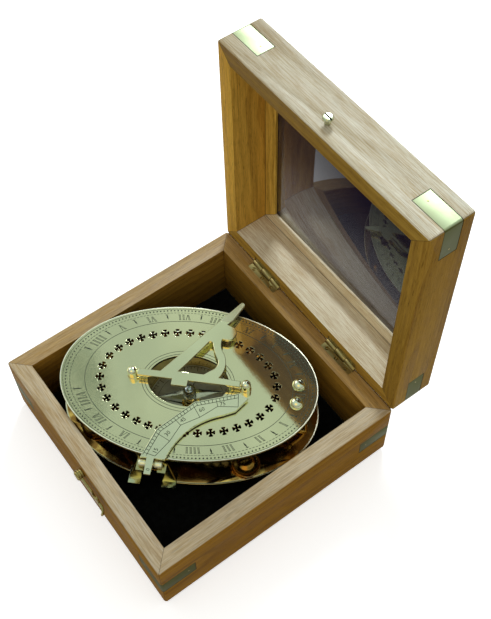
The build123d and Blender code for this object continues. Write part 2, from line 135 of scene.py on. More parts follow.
def capped_rows(rows, poles):
    """Closed rows of points, an array of (row, point, 3), joined by quads. The first row and the last are each
    drawn together to a pole by a fan of triangles."""
    count = rows.shape[1]
    n = len(rows) * count
    c = np.arange(count)
    d = (c + 1) % count
    first = np.stack([c, d, np.full(count, n)], -1)
    last = np.stack([d + n - count, c + n - count, np.full(count, n + 1)], -1)
    return np.concatenate([rows.reshape(-1, 3), poles]), [wrapped(len(rows), count), first, last]


def turned(profile, at=(0.0, 0.0), count=96, flutes=0, flute=0.0, fluted=(0, 0)):
    """A profile of (radius, height) carried once round an upright axis, its two ends on the axis. Rows from
    fluted[0] to fluted[1] have a radius less by flute times the half-wave |sin(flutes x angle / 2)|."""
    profile = np.array(profile, float)
    angle = np.arange(count) * 2 * math.pi / count
    radius = np.repeat(profile[1:-1, :1], count, 1)
    if flutes:
        rows = slice(fluted[0] - 1, fluted[1])
        radius[rows] -= flute * np.abs(np.sin(flutes * angle / 2))[None, :]
    x = at[0] + radius * np.cos(angle)
    y = at[1] + radius * np.sin(angle)
    z = np.repeat(profile[1:-1, 1:], count, 1)
    return capped_rows(np.stack([x, y, z], -1), [[*at, profile[0, 1]], [*at, profile[-1, 1]]])


def eased(points, radius, steps=3):
    """An open line of points whose corners are rounded off by short curves: each runs from a point radius before
    the corner to one as far after it, with weights (1-t)^2, 2t(1-t) and t^2."""
    points = np.array(points, float)
    t = np.linspace(0, 1, steps + 1)[:, None]
    out = [points[:1]]
    for i in range(1, len(points) - 1):
        corner = points[i]
        before = points[i - 1] - corner
        after = points[i + 1] - corner
        cut_before = min(radius, 0.45 * np.linalg.norm(before))
        cut_after = min(radius, 0.45 * np.linalg.norm(after))
        start = corner + before / np.linalg.norm(before) * cut_before
        end = corner + after / np.linalg.norm(after) * cut_after
        out.append((1 - t) ** 2 * start + 2 * t * (1 - t) * corner + t**2 * end)
    out.append(points[-1:])
    return np.concatenate(out)


def arc_through(start, middle, end, count=14):
    """Points of the circle through three points, from the first up to but not with the last."""
    a, b, c = (complex(*p) for p in (start, middle, end))
    w = (c - a) / (b - a)
    centre = (b - a) * (w - abs(w) ** 2) / (w - w.conjugate()) + a
    first, last = np.angle(a - centre), np.angle(c - centre)
    way = np.angle((b - centre) / (a - centre))
    sweep = (last - first) % (2 * math.pi)
    if way < 0:
        sweep -= 2 * math.pi
    angle = first + sweep * np.arange(count) / count
    radius = abs(a - centre)
    return np.column_stack([centre.real + radius * np.cos(angle), centre.imag + radius * np.sin(angle)])


def ways(angles):
    """Unit ways at angles from the first axis towards the second: (cos, sin)."""
    return np.stack([np.cos(angles), np.sin(angles)], -1)


def left_of(way):
    """Each way turned a quarter round to its left: (x, y) becomes (-y, x)."""
    return np.column_stack([-way[:, 1], way[:, 0]])


def ellipse(a, b, count, centre=(0.0, 0.0)):
    """Points of an ellipse, (a cos t, b sin t) at even steps of t."""
    return np.array([a, b]) * ways(np.arange(count) * 2 * math.pi / count) + centre


def inset(loop, distance):
    """Each corner of a closed loop moved to the left of its way by distance, square to its two sides."""
    ahead = np.roll(loop, -1, 0) - loop
    ahead /= np.linalg.norm(ahead, axis=1)[:, None]
    behind = np.roll(ahead, 1, 0)
    straight = np.clip(1 + (ahead * behind).sum(1), 0.35, None)
    return loop + distance * left_of(ahead + behind) / straight[:, None]


def anticlockwise(loop):
    """The loop, turned round where the sum of its corners' cross products, twice its area, is below nothing."""
    x, y = loop[:, 0], loop[:, 1]
    area = (x * np.roll(y, -1) - np.roll(x, -1) * y).sum()
    return loop if area > 0 else loop[::-1]


def plate(outline, low, high, ease, holes=(), hole_ease=0.1, steps=3, low_ease=None):
    """A flat plate with openings. Every edge is a quarter round: at angle a from the face the outline is
    moved in by ease x (1 - sin a) and lies ease x (1 - cos a) below the face."""
    low_ease = ease if low_ease is None else low_ease
    turn = np.linspace(0, math.pi / 2, steps + 1)
    loops = [(anticlockwise(outline), ease, low_ease)]
    loops += [(anticlockwise(h)[::-1], hole_ease, hole_ease) for h in holes]
    points, faces, offset = [], [], 0
    top, bottom, top_at, bottom_at = [], [], [], []
    for loop, over, under in loops:
        rows = [(over * (1 - math.sin(a)), high - over * (1 - math.cos(a))) for a in turn]
        rows += [(under * (1 - math.sin(a)), low + under * (1 - math.cos(a))) for a in turn[::-1]]
        grid = [np.column_stack([inset(loop, d), np.full(len(loop), z)]) for d, z in rows]
        top.append([Vector(p) for p in grid[0]])
        bottom.append([Vector(p) for p in grid[-1]])
        top_at.append(offset + np.arange(len(loop)))
        offset += len(loop) * (len(rows) - 1)
        bottom_at.append(offset + np.arange(len(loop)))
        offset += len(loop)
        faces.append(wrapped(len(rows), len(loop)) + offset - len(loop) * len(rows))
        points += grid
    for face, index in ((top, top_at), (bottom, bottom_at)):
        triangles = np.array(tessellate_polygon(face), int)
        faces.append(np.concatenate(index)[triangles])
    return np.concatenate(points), faces


def prisms(outlines, low, high):
    """Upright prisms on many outlines of the same number of corners, an array of (shape, corner, 2)."""
    outlines = np.asarray(outlines, float)
    n, k = outlines.shape[:2]
    base = np.concatenate([outlines, np.full((n, k, 1), low)], -1)
    head = np.concatenate([outlines, np.full((n, k, 1), high)], -1)
    points = np.concatenate([base, head], 1).reshape(-1, 3)
    start = np.arange(n)[:, None] * 2 * k
    c = np.arange(k)
    d = (c + 1) % k
    sides = (start[:, :, None] + np.stack([c, d, d + k, c + k], -1)[None]).reshape(-1, 4)
    return points, [sides, start + c[::-1], start + k + c]


def band(inner, outer, low, high, closed=True):
    """A flat strip between two lines of as many points, with its own thickness."""
    n = len(inner)
    rows = [(inner, low), (outer, low), (outer, high), (inner, high)]
    points = np.concatenate([np.column_stack([line, np.full(n, z)]) for line, z in rows])
    r = np.arange(4)[:, None] * n
    c = np.arange(n if closed else n - 1)[None, :]
    d = (c + 1) % n
    q = (r + n) % (4 * n)
    faces = [np.stack([r + c, r + d, q + d, q + c], -1).reshape(-1, 4)]
    if not closed:
        ends = np.arange(4) * n
        faces += [ends[None, ::-1], ends[None, :] + n - 1]
    return points, faces


def stroke(line, width, low, high, closed=False):
    """A line of points drawn out to a strip of the given width."""
    line = np.asarray(line, float)
    if closed:
        return band(inset(line, width / 2), inset(line, -width / 2), low, high)
    way = np.gradient(line, axis=0)
    way /= np.linalg.norm(way, axis=1)[:, None]
    side = left_of(way) * width / 2
    return band(line + side, line - side, low, high, closed=False)


def seated(shape):
    """From the instrument's own frame, long axis along X, to the box's."""
    (u, v, z), faces = shape[0].T, shape[1]
    c, s = math.cos(DIAL_TURN), math.sin(DIAL_TURN)
    return np.column_stack([DIAL_AT[0] + c * u - s * v, DIAL_AT[1] + s * u + c * v, z]), faces


def opened(shape):
    """From where the lid is shut to where it stands open, a quarter turn about the hinge."""
    (x, y, z), faces = shape[0].T, shape[1]
    return np.column_stack([x, HALF + z - BASE_H, BASE_H + HALF - y]), faces


def laid(shape, at, out, along):
    """A shape drawn upright at the origin, moved to at with its own Z along out and its own X along along."""
    z = np.array(out, float)
    x = np.array(along, float)
    y = np.cross(z, x)
    return shape[0] @ np.stack([x, y, z]) + np.array(at, float), shape[1]


# Finishes


class Val:
    """A number or vector that varies over a surface. Its operators put in Math nodes."""

    def __init__(self, finish, socket):
        self.finish = finish
        self.socket = socket

    def maths(self, operation, *values):
        node = self.finish.add("ShaderNodeMath", {"operation": operation}, dict(enumerate(values)))
        return Val(self.finish, node.outputs[0])

    def __add__(self, other):
        return self.maths("ADD", self, other)

    def __sub__(self, other):
        return self.maths("SUBTRACT", self, other)

    def __rsub__(self, other):
        return self.maths("SUBTRACT", other, self)

    def __mul__(self, other):
        return self.maths("MULTIPLY", self, other)

    def __truediv__(self, other):
        return self.maths("DIVIDE", self, other)

    __radd__ = __add__
    __rmul__ = __mul__

    def fraction(self):
        return self.maths("FRACT", self)

    def root(self):
        return self.maths("SQRT", self)

    def size(self):
        """Itself without its sign."""
        return self.maths("ABSOLUTE", self)

    def between(self, low, high):
        """0 below low, 1 above high, and an S-curve from one to the other."""
        settings = {"interpolation_type": "SMOOTHSTEP"}
        node = self.finish.add("ShaderNodeMapRange", settings, {0: self, 1: low, 2: high})
        return Val(self.finish, node.outputs[0])

    def within(self, low, full, ends, high):
        """0 below low, 1 from full to ends, and 0 above high."""
        return self.between(low, full) * (1 - self.between(ends, high))

    def near_zero(self, full, far):
        """1 up to full away from zero, to either side, and 0 past far."""
        return 1 - self.size().between(full, far)

    def most(self, other):
        """The larger of two."""
        return self.maths("MAXIMUM", self, other)

    def least(self, other):
        """The smaller of two."""
        return self.maths("MINIMUM", self, other)

    def parts(self):
        node = self.finish.add("ShaderNodeSeparateXYZ", {}, {0: self})
        return [Val(self.finish, socket) for socket in node.outputs]

    def stretched(self, x, y, z):
        settings = {"operation": "MULTIPLY"}
        node = self.finish.add("ShaderNodeVectorMath", settings, {0: self, 1: (x, y, z)})
        return Val(self.finish, node.outputs[0])

    def noise(self, scale=1.0, detail=2.0, rough=0.5):
        """Even noise from 0 to 1, mostly near 0.5."""
        inputs = {"Vector": self, "Scale": scale, "Detail": detail, "Roughness": rough}
        return Val(self.finish, self.finish.add("ShaderNodeTexNoise", {}, inputs).outputs[0])


class Finish:
    """A tree of nodes. add() puts in any node: its settings first, then the values or links of its sockets."""

    def __init__(self, name=None, world=None):
        self.data = world or bpy.data.materials.new(name)
        self.data.use_nodes = True
        self.data.node_tree.nodes.clear()

    def add(self, kind, settings=None, inputs=None):
        tree = self.data.node_tree
        node = tree.nodes.new(kind)
        for key, value in (settings or {}).items():
            setattr(node, key, value)
        for key, value in (inputs or {}).items():
            if isinstance(value, Val):
                tree.links.new(value.socket, node.inputs[key])
            else:
                node.inputs[key].default_value = value
        return node

    def place(self):
        """Object coordinates in millimetres."""
        node = self.add("ShaderNodeTexCoord")
        return Val(self, node.outputs["Object"]).stretched(1000, 1000, 1000)

    def attribute(self, name):
        """What a piece keeps under this name for each of its points."""
        node = self.add("ShaderNodeAttribute", {"attribute_name": name})
        return Val(self, node.outputs["Vector"])

    def facing(self):
        """How far each face looks along X, Y and Z, from -1 to 1."""
        return Val(self, self.add("ShaderNodeTexCoord").outputs["Normal"]).parts()

    def ray(self, kind):
        """1 where the light's path is of this kind."""
        return Val(self, self.add("ShaderNodeLightPath").outputs[kind])

    def vector(self, x, y, z):
        """A vector of three values."""
        node = self.add("ShaderNodeCombineXYZ", {}, {0: x, 1: y, 2: z})
        return Val(self, node.outputs[0])

    def mix(self, factor, a, b, blend="MIX"):
        """From colour a to colour b."""
        settings = {"data_type": "RGBA", "blend_type": blend}
        a = a if isinstance(a, Val) else (*a, 1)
        b = b if isinstance(b, Val) else (*b, 1)
        node = self.add("ShaderNodeMix", settings, {0: factor, 6: a, 7: b})
        return Val(self, node.outputs[2])

    def bump(self, height, distance, strength=1.0):
        """Faces tilted as if raised by height x distance, in metres."""
        inputs = {"Height": height, "Distance": distance, "Strength": strength}
        return Val(self, self.add("ShaderNodeBump", {}, inputs).outputs[0])

    def surface(self, **sockets):
        """The shader itself; a colour is given as three numbers or a link."""
        inputs = {}
        for key, value in sockets.items():
            name = key.replace("_", " ")
            inputs[name] = (*value, 1) if isinstance(value, tuple) else value
        shader = self.add("ShaderNodeBsdfPrincipled", {}, inputs)
        return Val(self, shader.outputs[0])

    def done(self, shader, kind="ShaderNodeOutputMaterial"):
        """The finish, with its shader as its surface."""
        self.add(kind, {}, {0: shader})
        return self.data


def joint_lines(f, in_lid):
    """1 along the outline of the four corner straps, where the larger of the distances past the strap's long
    edge and past its end is nothing, and less along the mitres, where both ways out are equal, along the line
    where the lid turns, which is painted shade in the gap there, and where the pane's frame meets the lid's walls."""
    x, y, z = f.place().parts()
    over = y - (HALF + STRAP_LID_MIDDLE) if in_lid else z - STRAP_BASE_MIDDLE
    one = x.size()
    other = (z - (BASE_H + HALF) if in_lid else y).size()
    past_edge = over.size() - STRAP_HALF
    past_end = STRAP_STARTS - one.least(other)
    from_middle = one.most(other)
    seam = past_edge.most(past_end).near_zero(0.12, 0.5) * from_middle.between(HALF - 0.9, HALF - 0.5)
    mitre = (one - other).near_zero(0.08, 0.35)
    # Painted shade along the gap where the lid turns
    if in_lid:
        hinge_shade = (1 - z.between(BASE_H + 0.25, BASE_H + 0.55)) * (1 - y.between(HALF + 0.35, HALF + 0.65))
    else:
        hinge_shade = y.between(HALF - 0.55, HALF - 0.25) * z.between(BASE_H - 0.65, BASE_H - 0.35)
    marks = (mitre * 0.6).most(hinge_shade * 0.8)
    if in_lid:
        frame_at = HALF + FRAME_DEPTH
        frame_line = y.within(frame_at - 0.5, frame_at - 0.2, frame_at + 0.5, frame_at + 1.0)
        marks = marks.most((from_middle - INNER).near_zero(0.2, 0.6) * frame_line * 0.5)
    return seam.most(marks)


PITH_BELOW = 34.0
# The pale and the deep colour of the painted sheen
SHEEN_PALE = (0.82, 0.77, 0.60)
SHEEN_DEEP = (0.48, 0.35, 0.18)
# The dark of the joints, also that of the painted shade along the hinge
JOINT_AND_HINGE_SHADE = (0.012, 0.008, 0.004)


def darker(colour, share):
    """Each part of a colour times share."""
    return tuple(share * c for c in colour)


def wood(name, dark, light, strength, ring_mm, in_lid=False):
    """Planed hardwood. Growth rings are circles round a pith below the board, of radius
    root(across^2 + (depth + PITH_BELOW)^2) plus a slow wander along it; pores are short dark dashes along the
    grain. Each board's own numbers say how much painted sheen, pale and grey, lies on its upper and front faces,
    and its shade, which is its own tone and painted light together."""
    f = Finish(name)
    along, across, depth = f.attribute("grain").parts()

    def drawn_out(long, short, detail, rough=0.5):
        """Noise that moves on by long for each millimetre along the grain and by short for each across it."""
        return f.vector(along * long, across * short, depth * short).noise(1.0, detail, rough)

    out = depth + PITH_BELOW
    radius = (across * across + out * out).root() + drawn_out(0.007, 0.02, 3.0) * 17
    radius = radius + drawn_out(0.03, 0.1, 2.0) * 2.2
    late = (radius / ring_mm).fraction().within(0.15, 0.9, 0.93, 1.0)
    broad = f.vector(along * 0.004, radius * 0.11, 0.0).noise(1.0, 3.0, 0.6)
    vein = f.vector(along * 0.006, radius * 0.32, 3.0).noise(1.0, 2.0).between(0.64, 0.74)
    streak = drawn_out(0.012, 0.9, 5.0, 0.65)
    fibre = drawn_out(0.06, 4.5, 3.0, 0.6)
    pore = drawn_out(0.17, 3.4, 1.0, 0.4).between(0.6, 0.7)
    fleck = drawn_out(0.07, 2.1, 4.0, 0.75).between(0.38, 0.64)
    patch = drawn_out(0.02, 0.10, 3.0, 0.6).between(0.35, 0.65)
    tone = late * 0.30 + broad.between(0.3, 0.72) * 0.4 + streak.between(0.3, 0.75) * 0.4
    tone = tone * strength + fibre.between(0.25, 0.8) * 0.2
    deep = darker(dark, 0.42)
    colour = f.mix(tone, light, dark)
    colour = f.mix(vein * 0.45 * strength, colour, deep)
    colour = f.mix(pore * (0.35 + 0.35 * late), colour, darker(dark, 0.30))
    colour = f.mix(fleck * 0.3, colour, f.mix(patch, deep, dark))
    # Painted sheen: upper faces, and front faces where a board asks for it, turn to a pale, grey colour
    sheen, sheen_front, _ = f.attribute("sheen_amounts").parts()
    _, facing_back, facing_up = f.facing()
    upward = facing_up.between(0.4, 0.8)
    forward = (facing_back * -1).between(0.4, 0.8)
    sheen_colour = f.mix(fleck * 0.7 + patch * 0.3, SHEEN_PALE, SHEEN_DEEP)
    colour = f.mix(upward * sheen + forward * sheen_front, colour, sheen_colour)
    # Each board's shade: its own tone and painted light together, with a painted bluish reflection towards one end
    # of the lid's front board
    colour = f.mix(1.0, colour, f.attribute("shade"), "MULTIPLY")
    # Dark joints, and painted shade along the hinge
    colour = f.mix(joint_lines(f, in_lid) * 0.9, colour, JOINT_AND_HINGE_SHADE)
    return f.done(
        f.surface(
            Base_Color=colour,
            Roughness=0.40 + 0.16 * fibre - 0.1 * late,
            Specular_IOR_Level=0.02,
            Normal=f.bump(fibre * 0.5 - pore, 0.00006, 0.7),
            Coat_Weight=0.02 + 0.35 * upward,
            Coat_Roughness=0.42,
        )
    )


def along_dial(f):
    """Places in the instrument's own frame: along its long axis, across it, and up."""
    x, y, z = f.place().parts()
    c, s = math.cos(DIAL_TURN), math.sin(DIAL_TURN)
    x, y = x - DIAL_AT[0], y - DIAL_AT[1]
    return x * c + y * s, y * c - x * s, z


TARNISHED = (0.72, 0.60, 0.42)
RUB_TURN = (0.1, 0.2, 0.72)
RUB_SCALE = (0.12, 4.5, 4.5)


def brass(name, colour, rough, wave, dull, tarnish, part=None, sides=None, metal=1.0):
    """Metal polished by hand: faint waves, fine rubbed lines, a little dulling in clouds. part is a function of
    the finish that gives 1 where the metal looks different, its colour there and how much rougher it is; sides
    is the colour of upright faces, a painted shade."""
    f = Finish(name)
    at = f.place()
    cloud = at.noise(0.035, 4.0, 0.55).between(0.45, 0.75)
    speck = at.noise(0.9, 3.0, 0.6).between(0.68, 0.8)
    lines = at.stretched(0.25, 0.25, 2.0).noise(3.0, 2.0, 0.6)
    crossed = f.add("ShaderNodeMapping", {}, {"Vector": at, "Rotation": RUB_TURN, "Scale": RUB_SCALE})
    rubbed = Val(f, crossed.outputs[0]).noise(1.0, 3.0, 0.7)
    deep = tuple(c * k for c, k in zip(colour, TARNISHED))
    tint = f.mix(cloud * tarnish + speck * tarnish * 0.8, colour, deep)
    roughness = rough + cloud * dull * 0.5 + rubbed.between(0.5, 0.9) * dull * 0.6
    if part:
        share, other, rougher = part(f)
        tint = f.mix(share, tint, other)
        roughness = roughness + share * rougher
    # Upright faces take a painted shade
    if sides:
        tint = f.mix(f.facing()[2].between(0.5, 0.9), sides, tint)
    height = at.noise(0.11, 2.0, 0.4) * wave * 6 + rubbed * 0.22 + lines * 0.12
    return f.done(
        f.surface(
            Base_Color=tint,
            Metallic=metal,
            Roughness=roughness,
            Normal=f.bump(height, 0.00003, 0.5),
        )
    )


def filled_lines(name, full, thin):
    """Dark filling in the cuts, thin in places so that the metal shows through."""
    f = Finish(name)
    worn = f.place().noise(0.8, 3.0, 0.6).between(0.6, 0.85)
    colour = f.mix(worn, full, thin)
    return f.done(f.surface(Base_Color=colour, Roughness=0.62 - 0.2 * worn, Metallic=0.8))


def steel(name, colour, rough):
    """Pale bright metal with darker clouds and fine lines round it."""
    f = Finish(name)
    at = f.place()
    cloud = at.noise(0.4, 3.0, 0.6)
    fine = at.stretched(1, 1, 6).noise(2.0, 2.0, 0.6)
    tint = f.mix(cloud.between(0.4, 0.8) * 0.5, colour, darker(colour, 0.6))
    normal = f.bump(fine, 0.00002, 0.4)
    return f.done(f.surface(Base_Color=tint, Metallic=1.0, Roughness=rough + cloud * 0.12, Normal=normal))


def velvet_cloth():
    """Short black pile: clumps that lean different ways, and the light edge that pile has."""
    f = Finish("black_velvet")
    at = f.place()
    clump = at.noise(0.25, 4.0, 0.6)
    pile = at.noise(5.0, 2.0, 0.7)
    colour = f.mix(clump.between(0.35, 0.75), (0.0022, 0.0025, 0.0024), (0.007, 0.008, 0.0075))
    return f.done(
        f.surface(
            Base_Color=colour,
            Roughness=0.95,
            Specular_IOR_Level=0.1,
            Sheen_Weight=0.08,
            Sheen_Roughness=0.35,
            Normal=f.bump(pile + clump, 0.0004, 0.8),
        )
    )


def smoked_pane():
    """Flat glass that looks dark: a little of what is behind comes through, the rest mirrors the box."""
    f = Finish("smoked_pane")
    at = f.place()
    film = at.stretched(0.012, 0.02, 0.03).noise(1.0, 4.0, 0.6)
    dust = at.noise(1.6, 2.0, 0.6).between(0.62, 0.8)
    colour = f.mix(film.between(0.35, 0.75), (0.018, 0.013, 0.042), (0.044, 0.033, 0.056))
    height = at.parts()[2]
    high = height.between(BASE_H + 35, BASE_H + 110)
    top = height.between(BASE_H + 52, BASE_H + 122)
    colour = f.mix(dust * 0.25, colour, (0.20, 0.19, 0.17))
    return f.done(
        f.surface(
            Base_Color=colour,
            Roughness=0.03 + film.between(0.5, 0.9) * 0.05,
            IOR=1.42,
            Specular_IOR_Level=0.1,
            Alpha=0.80 + high * 0.17,
            Coat_Weight=1.0 - top * 0.85,
            Coat_IOR=1.8,
            Coat_Roughness=0.02,
        )
    )


def silvered_card():
    """The compass's floor, silvered and lacquered."""
    f = Finish("compass_card")
    at = f.place()
    stain = at.noise(0.12, 4.0, 0.6)
    colour = f.mix(stain.between(0.35, 0.75), (0.72, 0.74, 0.56), (0.50, 0.48, 0.32))
    height = at.noise(2.0, 2.0)
    return f.done(f.surface(Base_Color=colour, Metallic=0.35, Roughness=0.25, Normal=f.bump(height, 0.00003, 0.5)))


def oval(u, v, a, b):
    """0 at the instrument's middle and 1 along its ellipse of half axes a and b."""
    return (u * u / a**2 + v * v / b**2).root()


def under_dial(f):
    """The dial's lower face and the walls of its openings, left dark: painted shade, so that the crosses look
    black.
    """
    u, v, z = along_dial(f)
    inner = 1 - oval(u, v, DIAL_A, DIAL_B).between(0.93, 0.95)
    walls = inner * (1 - z.between(DIAL_TOP - 0.3, DIAL_TOP - 0.1))
    low = 1 - z.between(DIAL_LOW + 0.1, DIAL_LOW + 0.3)
    return walls.most(low), (0.045, 0.028, 0.010), 0.1


def inside_plate(f):
    """The lower plate's top, within an oval a little smaller than the plate: painted shade, dark in the middle,
    and round it painted amber reflections in spots, which give way to more painted shade from the near side to the
    far one."""
    u, v, z = along_dial(f)
    share = oval(u, v, PLATE_EDGE_A - 0.7, PLATE_EDGE_B - 0.7)
    top = z.within(PLATE_TOP - 0.5, PLATE_TOP - 0.1, PLATE_TOP + 0.1, PLATE_TOP + 0.3)
    far_shade = v.between(-22.0, 2.0)
    reflection_spots = f.place().noise(0.14, 3.0, 0.6).between(0.46, 0.66) * (1 - far_shade * 0.85)
    amber_reflection = f.mix(reflection_spots, (0.38, 0.19, 0.045), (1.0, 0.64, 0.17))
    amber_reflection = f.mix(far_shade * 0.7, amber_reflection, (0.10, 0.055, 0.02))
    colour = f.mix(share.between(0.74, 0.86), (0.060, 0.038, 0.013), amber_reflection)
    return (1 - share.between(0.996, 1.0)) * top, colour, 0.05


def outside_bowl(f):
    """The bowl's outer wall, left dark."""
    u, v, z = along_dial(f)
    outside = (u * u + v * v).root().between(BOWL_R - 0.6, BOWL_R - 0.4)
    return outside * (1 - z.between(BOWL_TOP - 0.9, BOWL_TOP - 0.5)), (0.16, 0.085, 0.030), 0.1


def bracket_strip(f):
    """The brackets above their feet, deeper in colour."""
    return f.place().parts()[2].between(PLATE_TOP + 1.5, PLATE_TOP + 6.0) * 0.8, (0.42, 0.37, 0.16), 0.05


def post_head(f):
    """The heads of the posts, paler than their stems: a painted highlight."""
    return f.place().parts()[2].between(POST_SHOULDER - 0.7, POST_SHOULDER - 0.1), (0.92, 0.97, 0.76), 0.05


def catch_slot(f):
    """The slot in the catch's head, left dark: painted shade."""
    _, y, z = f.place().parts()
    across = (y - (HALF + CATCH_H)).near_zero(0.40, 0.46)
    deep = z.within(CATCH_TOP - 0.75, CATCH_TOP - 0.65, CATCH_TOP - 0.10, CATCH_TOP - 0.02)
    return across * deep, (0.03, 0.028, 0.018), 0.3


def gnomon_end(f):
    """The gnomon's upper end, paler and rougher than the rest."""
    return along_dial(f)[1].between(38.5, 40.0), (0.96, 1.0, 0.72), 0.30


WOOD_BASE = wood("oiled_hardwood_base", (0.18, 0.078, 0.010), (0.52, 0.295, 0.045), 0.7, 3.4)
WOOD_LID = wood("oiled_hardwood_lid", (0.21, 0.107, 0.015), (0.56, 0.365, 0.070), 0.7, 4.1, True)
WOOD_RAIL = wood("oiled_hardwood_rail", (0.22, 0.120, 0.016), (0.58, 0.40, 0.085), 0.8, 2.8, True)
WOOD_OF = {"base_wood": WOOD_BASE, "lid_wood": WOOD_LID, "rail_wood": WOOD_RAIL}
BRASS_DIAL = brass("dial_brass_polished", (0.84, 0.80, 0.50), 0.03, 0.06, 0.05, 0.10, under_dial, metal=0.94)
BRASS_GNOMON = brass("gnomon_brass_polished", (0.85, 0.83, 0.54), 0.04, 0.08, 0.06, 0.10, gnomon_end, metal=0.94)
BRASS_ARM = brass("arm_brass_polished", (0.88, 0.87, 0.60), 0.04, 0.08, 0.06, 0.10, metal=0.94)
BRASS_BAR = brass("cross_bar_brass_satin", (0.90, 0.93, 0.70), 0.30, 0.08, 0.06, 0.10, metal=0.8)
BRASS_CATCH = brass("catch_brass_satin", (0.66, 0.70, 0.50), 0.34, 0.08, 0.06, 0.10, catch_slot, metal=0.8)
BRASS_KNOB = brass("knob_brass_satin", (0.38, 0.20, 0.04), 0.20, 0.15, 0.10, 0.15)
BRASS_BRACKET = brass("bracket_brass", (0.62, 0.66, 0.42), 0.16, 0.2, 0.10, 0.2, bracket_strip)
# Pale, rougher metal for bands along the dial's rim and the lower plate's edge: a painted highlight
BRASS_EDGE_HIGHLIGHT = brass("edge_painted_highlight", (0.96, 0.92, 0.72), 0.30, 0.05, 0.1, 0.05)
BRASS_PLATE = brass("mirror_brass", (0.86, 0.70, 0.34), 0.06, 0.2, 0.10, 0.3, inside_plate)
BRASS_BOWL = brass("bowl_brass", (0.86, 0.70, 0.34), 0.06, 0.2, 0.10, 0.3, outside_bowl)
BRASS_TURNED = brass("turned_brass_bright", (0.90, 0.84, 0.52), 0.06, 0.15, 0.10, 0.15)
BRASS_POST = brass("post_brass_bright", (0.90, 0.84, 0.52), 0.06, 0.15, 0.10, 0.15, post_head)
BRASS_DOME = brass("dome_brass_pale", (0.86, 0.90, 0.68), 0.08, 0.15, 0.10, 0.15)
# The straps' upright faces: a painted shade, darker and greener than their tops
STRAP_SIDE_SHADE = (0.11, 0.115, 0.035)
BRASS_STRAP = brass("strap_brass_brushed", (0.52, 0.58, 0.37), 0.52, 0.2, 0.12, 0.15, sides=STRAP_SIDE_SHADE)
BRASS_HINGE = brass("hinge_brass_aged", (0.42, 0.34, 0.15), 0.34, 0.3, 0.2, 0.5)
BRASS_LATCH = brass("latch_brass_worn", (0.42, 0.34, 0.13), 0.24, 0.3, 0.16, 0.4)
WAX = filled_lines("engraving_wax", (0.060, 0.070, 0.045), (0.30, 0.32, 0.22))
WAX_DARK = filled_lines("arm_wax", (0.018, 0.022, 0.012), (0.07, 0.08, 0.05))
STEEL_CAP = steel("cap_steel_bright", (0.50, 0.58, 0.62), 0.16)
STEEL_PALE = steel("needle_pale", (0.62, 0.60, 0.44), 0.12)
VELVET = velvet_cloth()
PANE = smoked_pane()
CARD = silvered_card()


# Making the pieces


def creased(mesh, angle):
    """Smooth shading, sharp where faces meet at more than the angle and all round each flat end face."""
    tidy = bmesh.new()
    tidy.from_mesh(mesh)
    bmesh.ops.recalc_face_normals(tidy, faces=tidy.faces)
    for face in tidy.faces:
        face.smooth = True
    limit = math.radians(angle)
    for edge in tidy.edges:
        if len(edge.link_faces) == 2:
            flat = [abs(face.normal.z) > 0.99999 for face in edge.link_faces]
            edge.smooth = flat[0] == flat[1] and edge.calc_face_angle(0) < limit
    tidy.to_mesh(mesh)
    tidy.free()


def make(name, shape, body, finish, nodes=(), angle=35):
    """A new piece from a shape in millimetres."""
    points, faces = shape
    mesh = bpy.data.meshes.new(name)
    mesh.vertices.add(len(points))
    mesh.vertices.foreach_set("co", (points * MM).astype(np.float32).ravel())
    corners = np.concatenate([f.ravel() for f in faces]).astype(np.int32)
    sizes = np.concatenate([np.full(len(f), f.shape[1]) for f in faces])
    mesh.loops.add(len(corners))
    mesh.loops.foreach_set("vertex_index", corners)
    mesh.polygons.add(len(sizes))
    mesh.polygons.foreach_set("loop_start", (np.cumsum(sizes) - sizes).astype(np.int32))
    mesh.update(calc_edges=True)
    mesh.validate()
    creased(mesh, angle)
    return put(name, mesh, body, finish, nodes)


def placed(name, data):
    """An object with this data, in the scene."""
    piece = bpy.data.objects.new(name, data)
    bpy.context.scene.collection.objects.link(piece)
    return piece


def put(name, mesh, body, finish, nodes=()):
    """A piece with its finish, on its body, in place of the nodes."""
    mesh.materials.clear()
    mesh.materials.append(finish)
    piece = placed(name, mesh)
    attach(piece, body)
    if nodes:
        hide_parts(*nodes)
    return piece


def copied(node, finish, ease=0.25, segments=2, angle=40):
    """A node's own shape, its triangles merged, with its sharp edges eased by a small bevel."""
    mesh = frame["nodes"][node].data.copy()
    whole = bmesh.new()
    whole.from_mesh(mesh)
    bmesh.ops.remove_doubles(whole, verts=whole.verts, dist=2e-6)
    bmesh.ops.dissolve_limit(whole, angle_limit=math.radians(0.4), verts=whole.verts, edges=whole.edges)
    for face in whole.faces:
        face.smooth = True
    whole.to_mesh(mesh)
    whole.free()
    mesh.name = node + "_shown"
    piece = put(node + "_shown", mesh, frame["nodes"][node]["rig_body"], finish, (node,))
    bevel = piece.modifiers.new("ease", "BEVEL")
    bevel.width = ease * MM
    bevel.segments = segments
    bevel.limit_method = "ANGLE"
    bevel.angle_limit = math.radians(angle)
    bevel.harden_normals = True
    return piece


RIM_CLOSED = 0.098


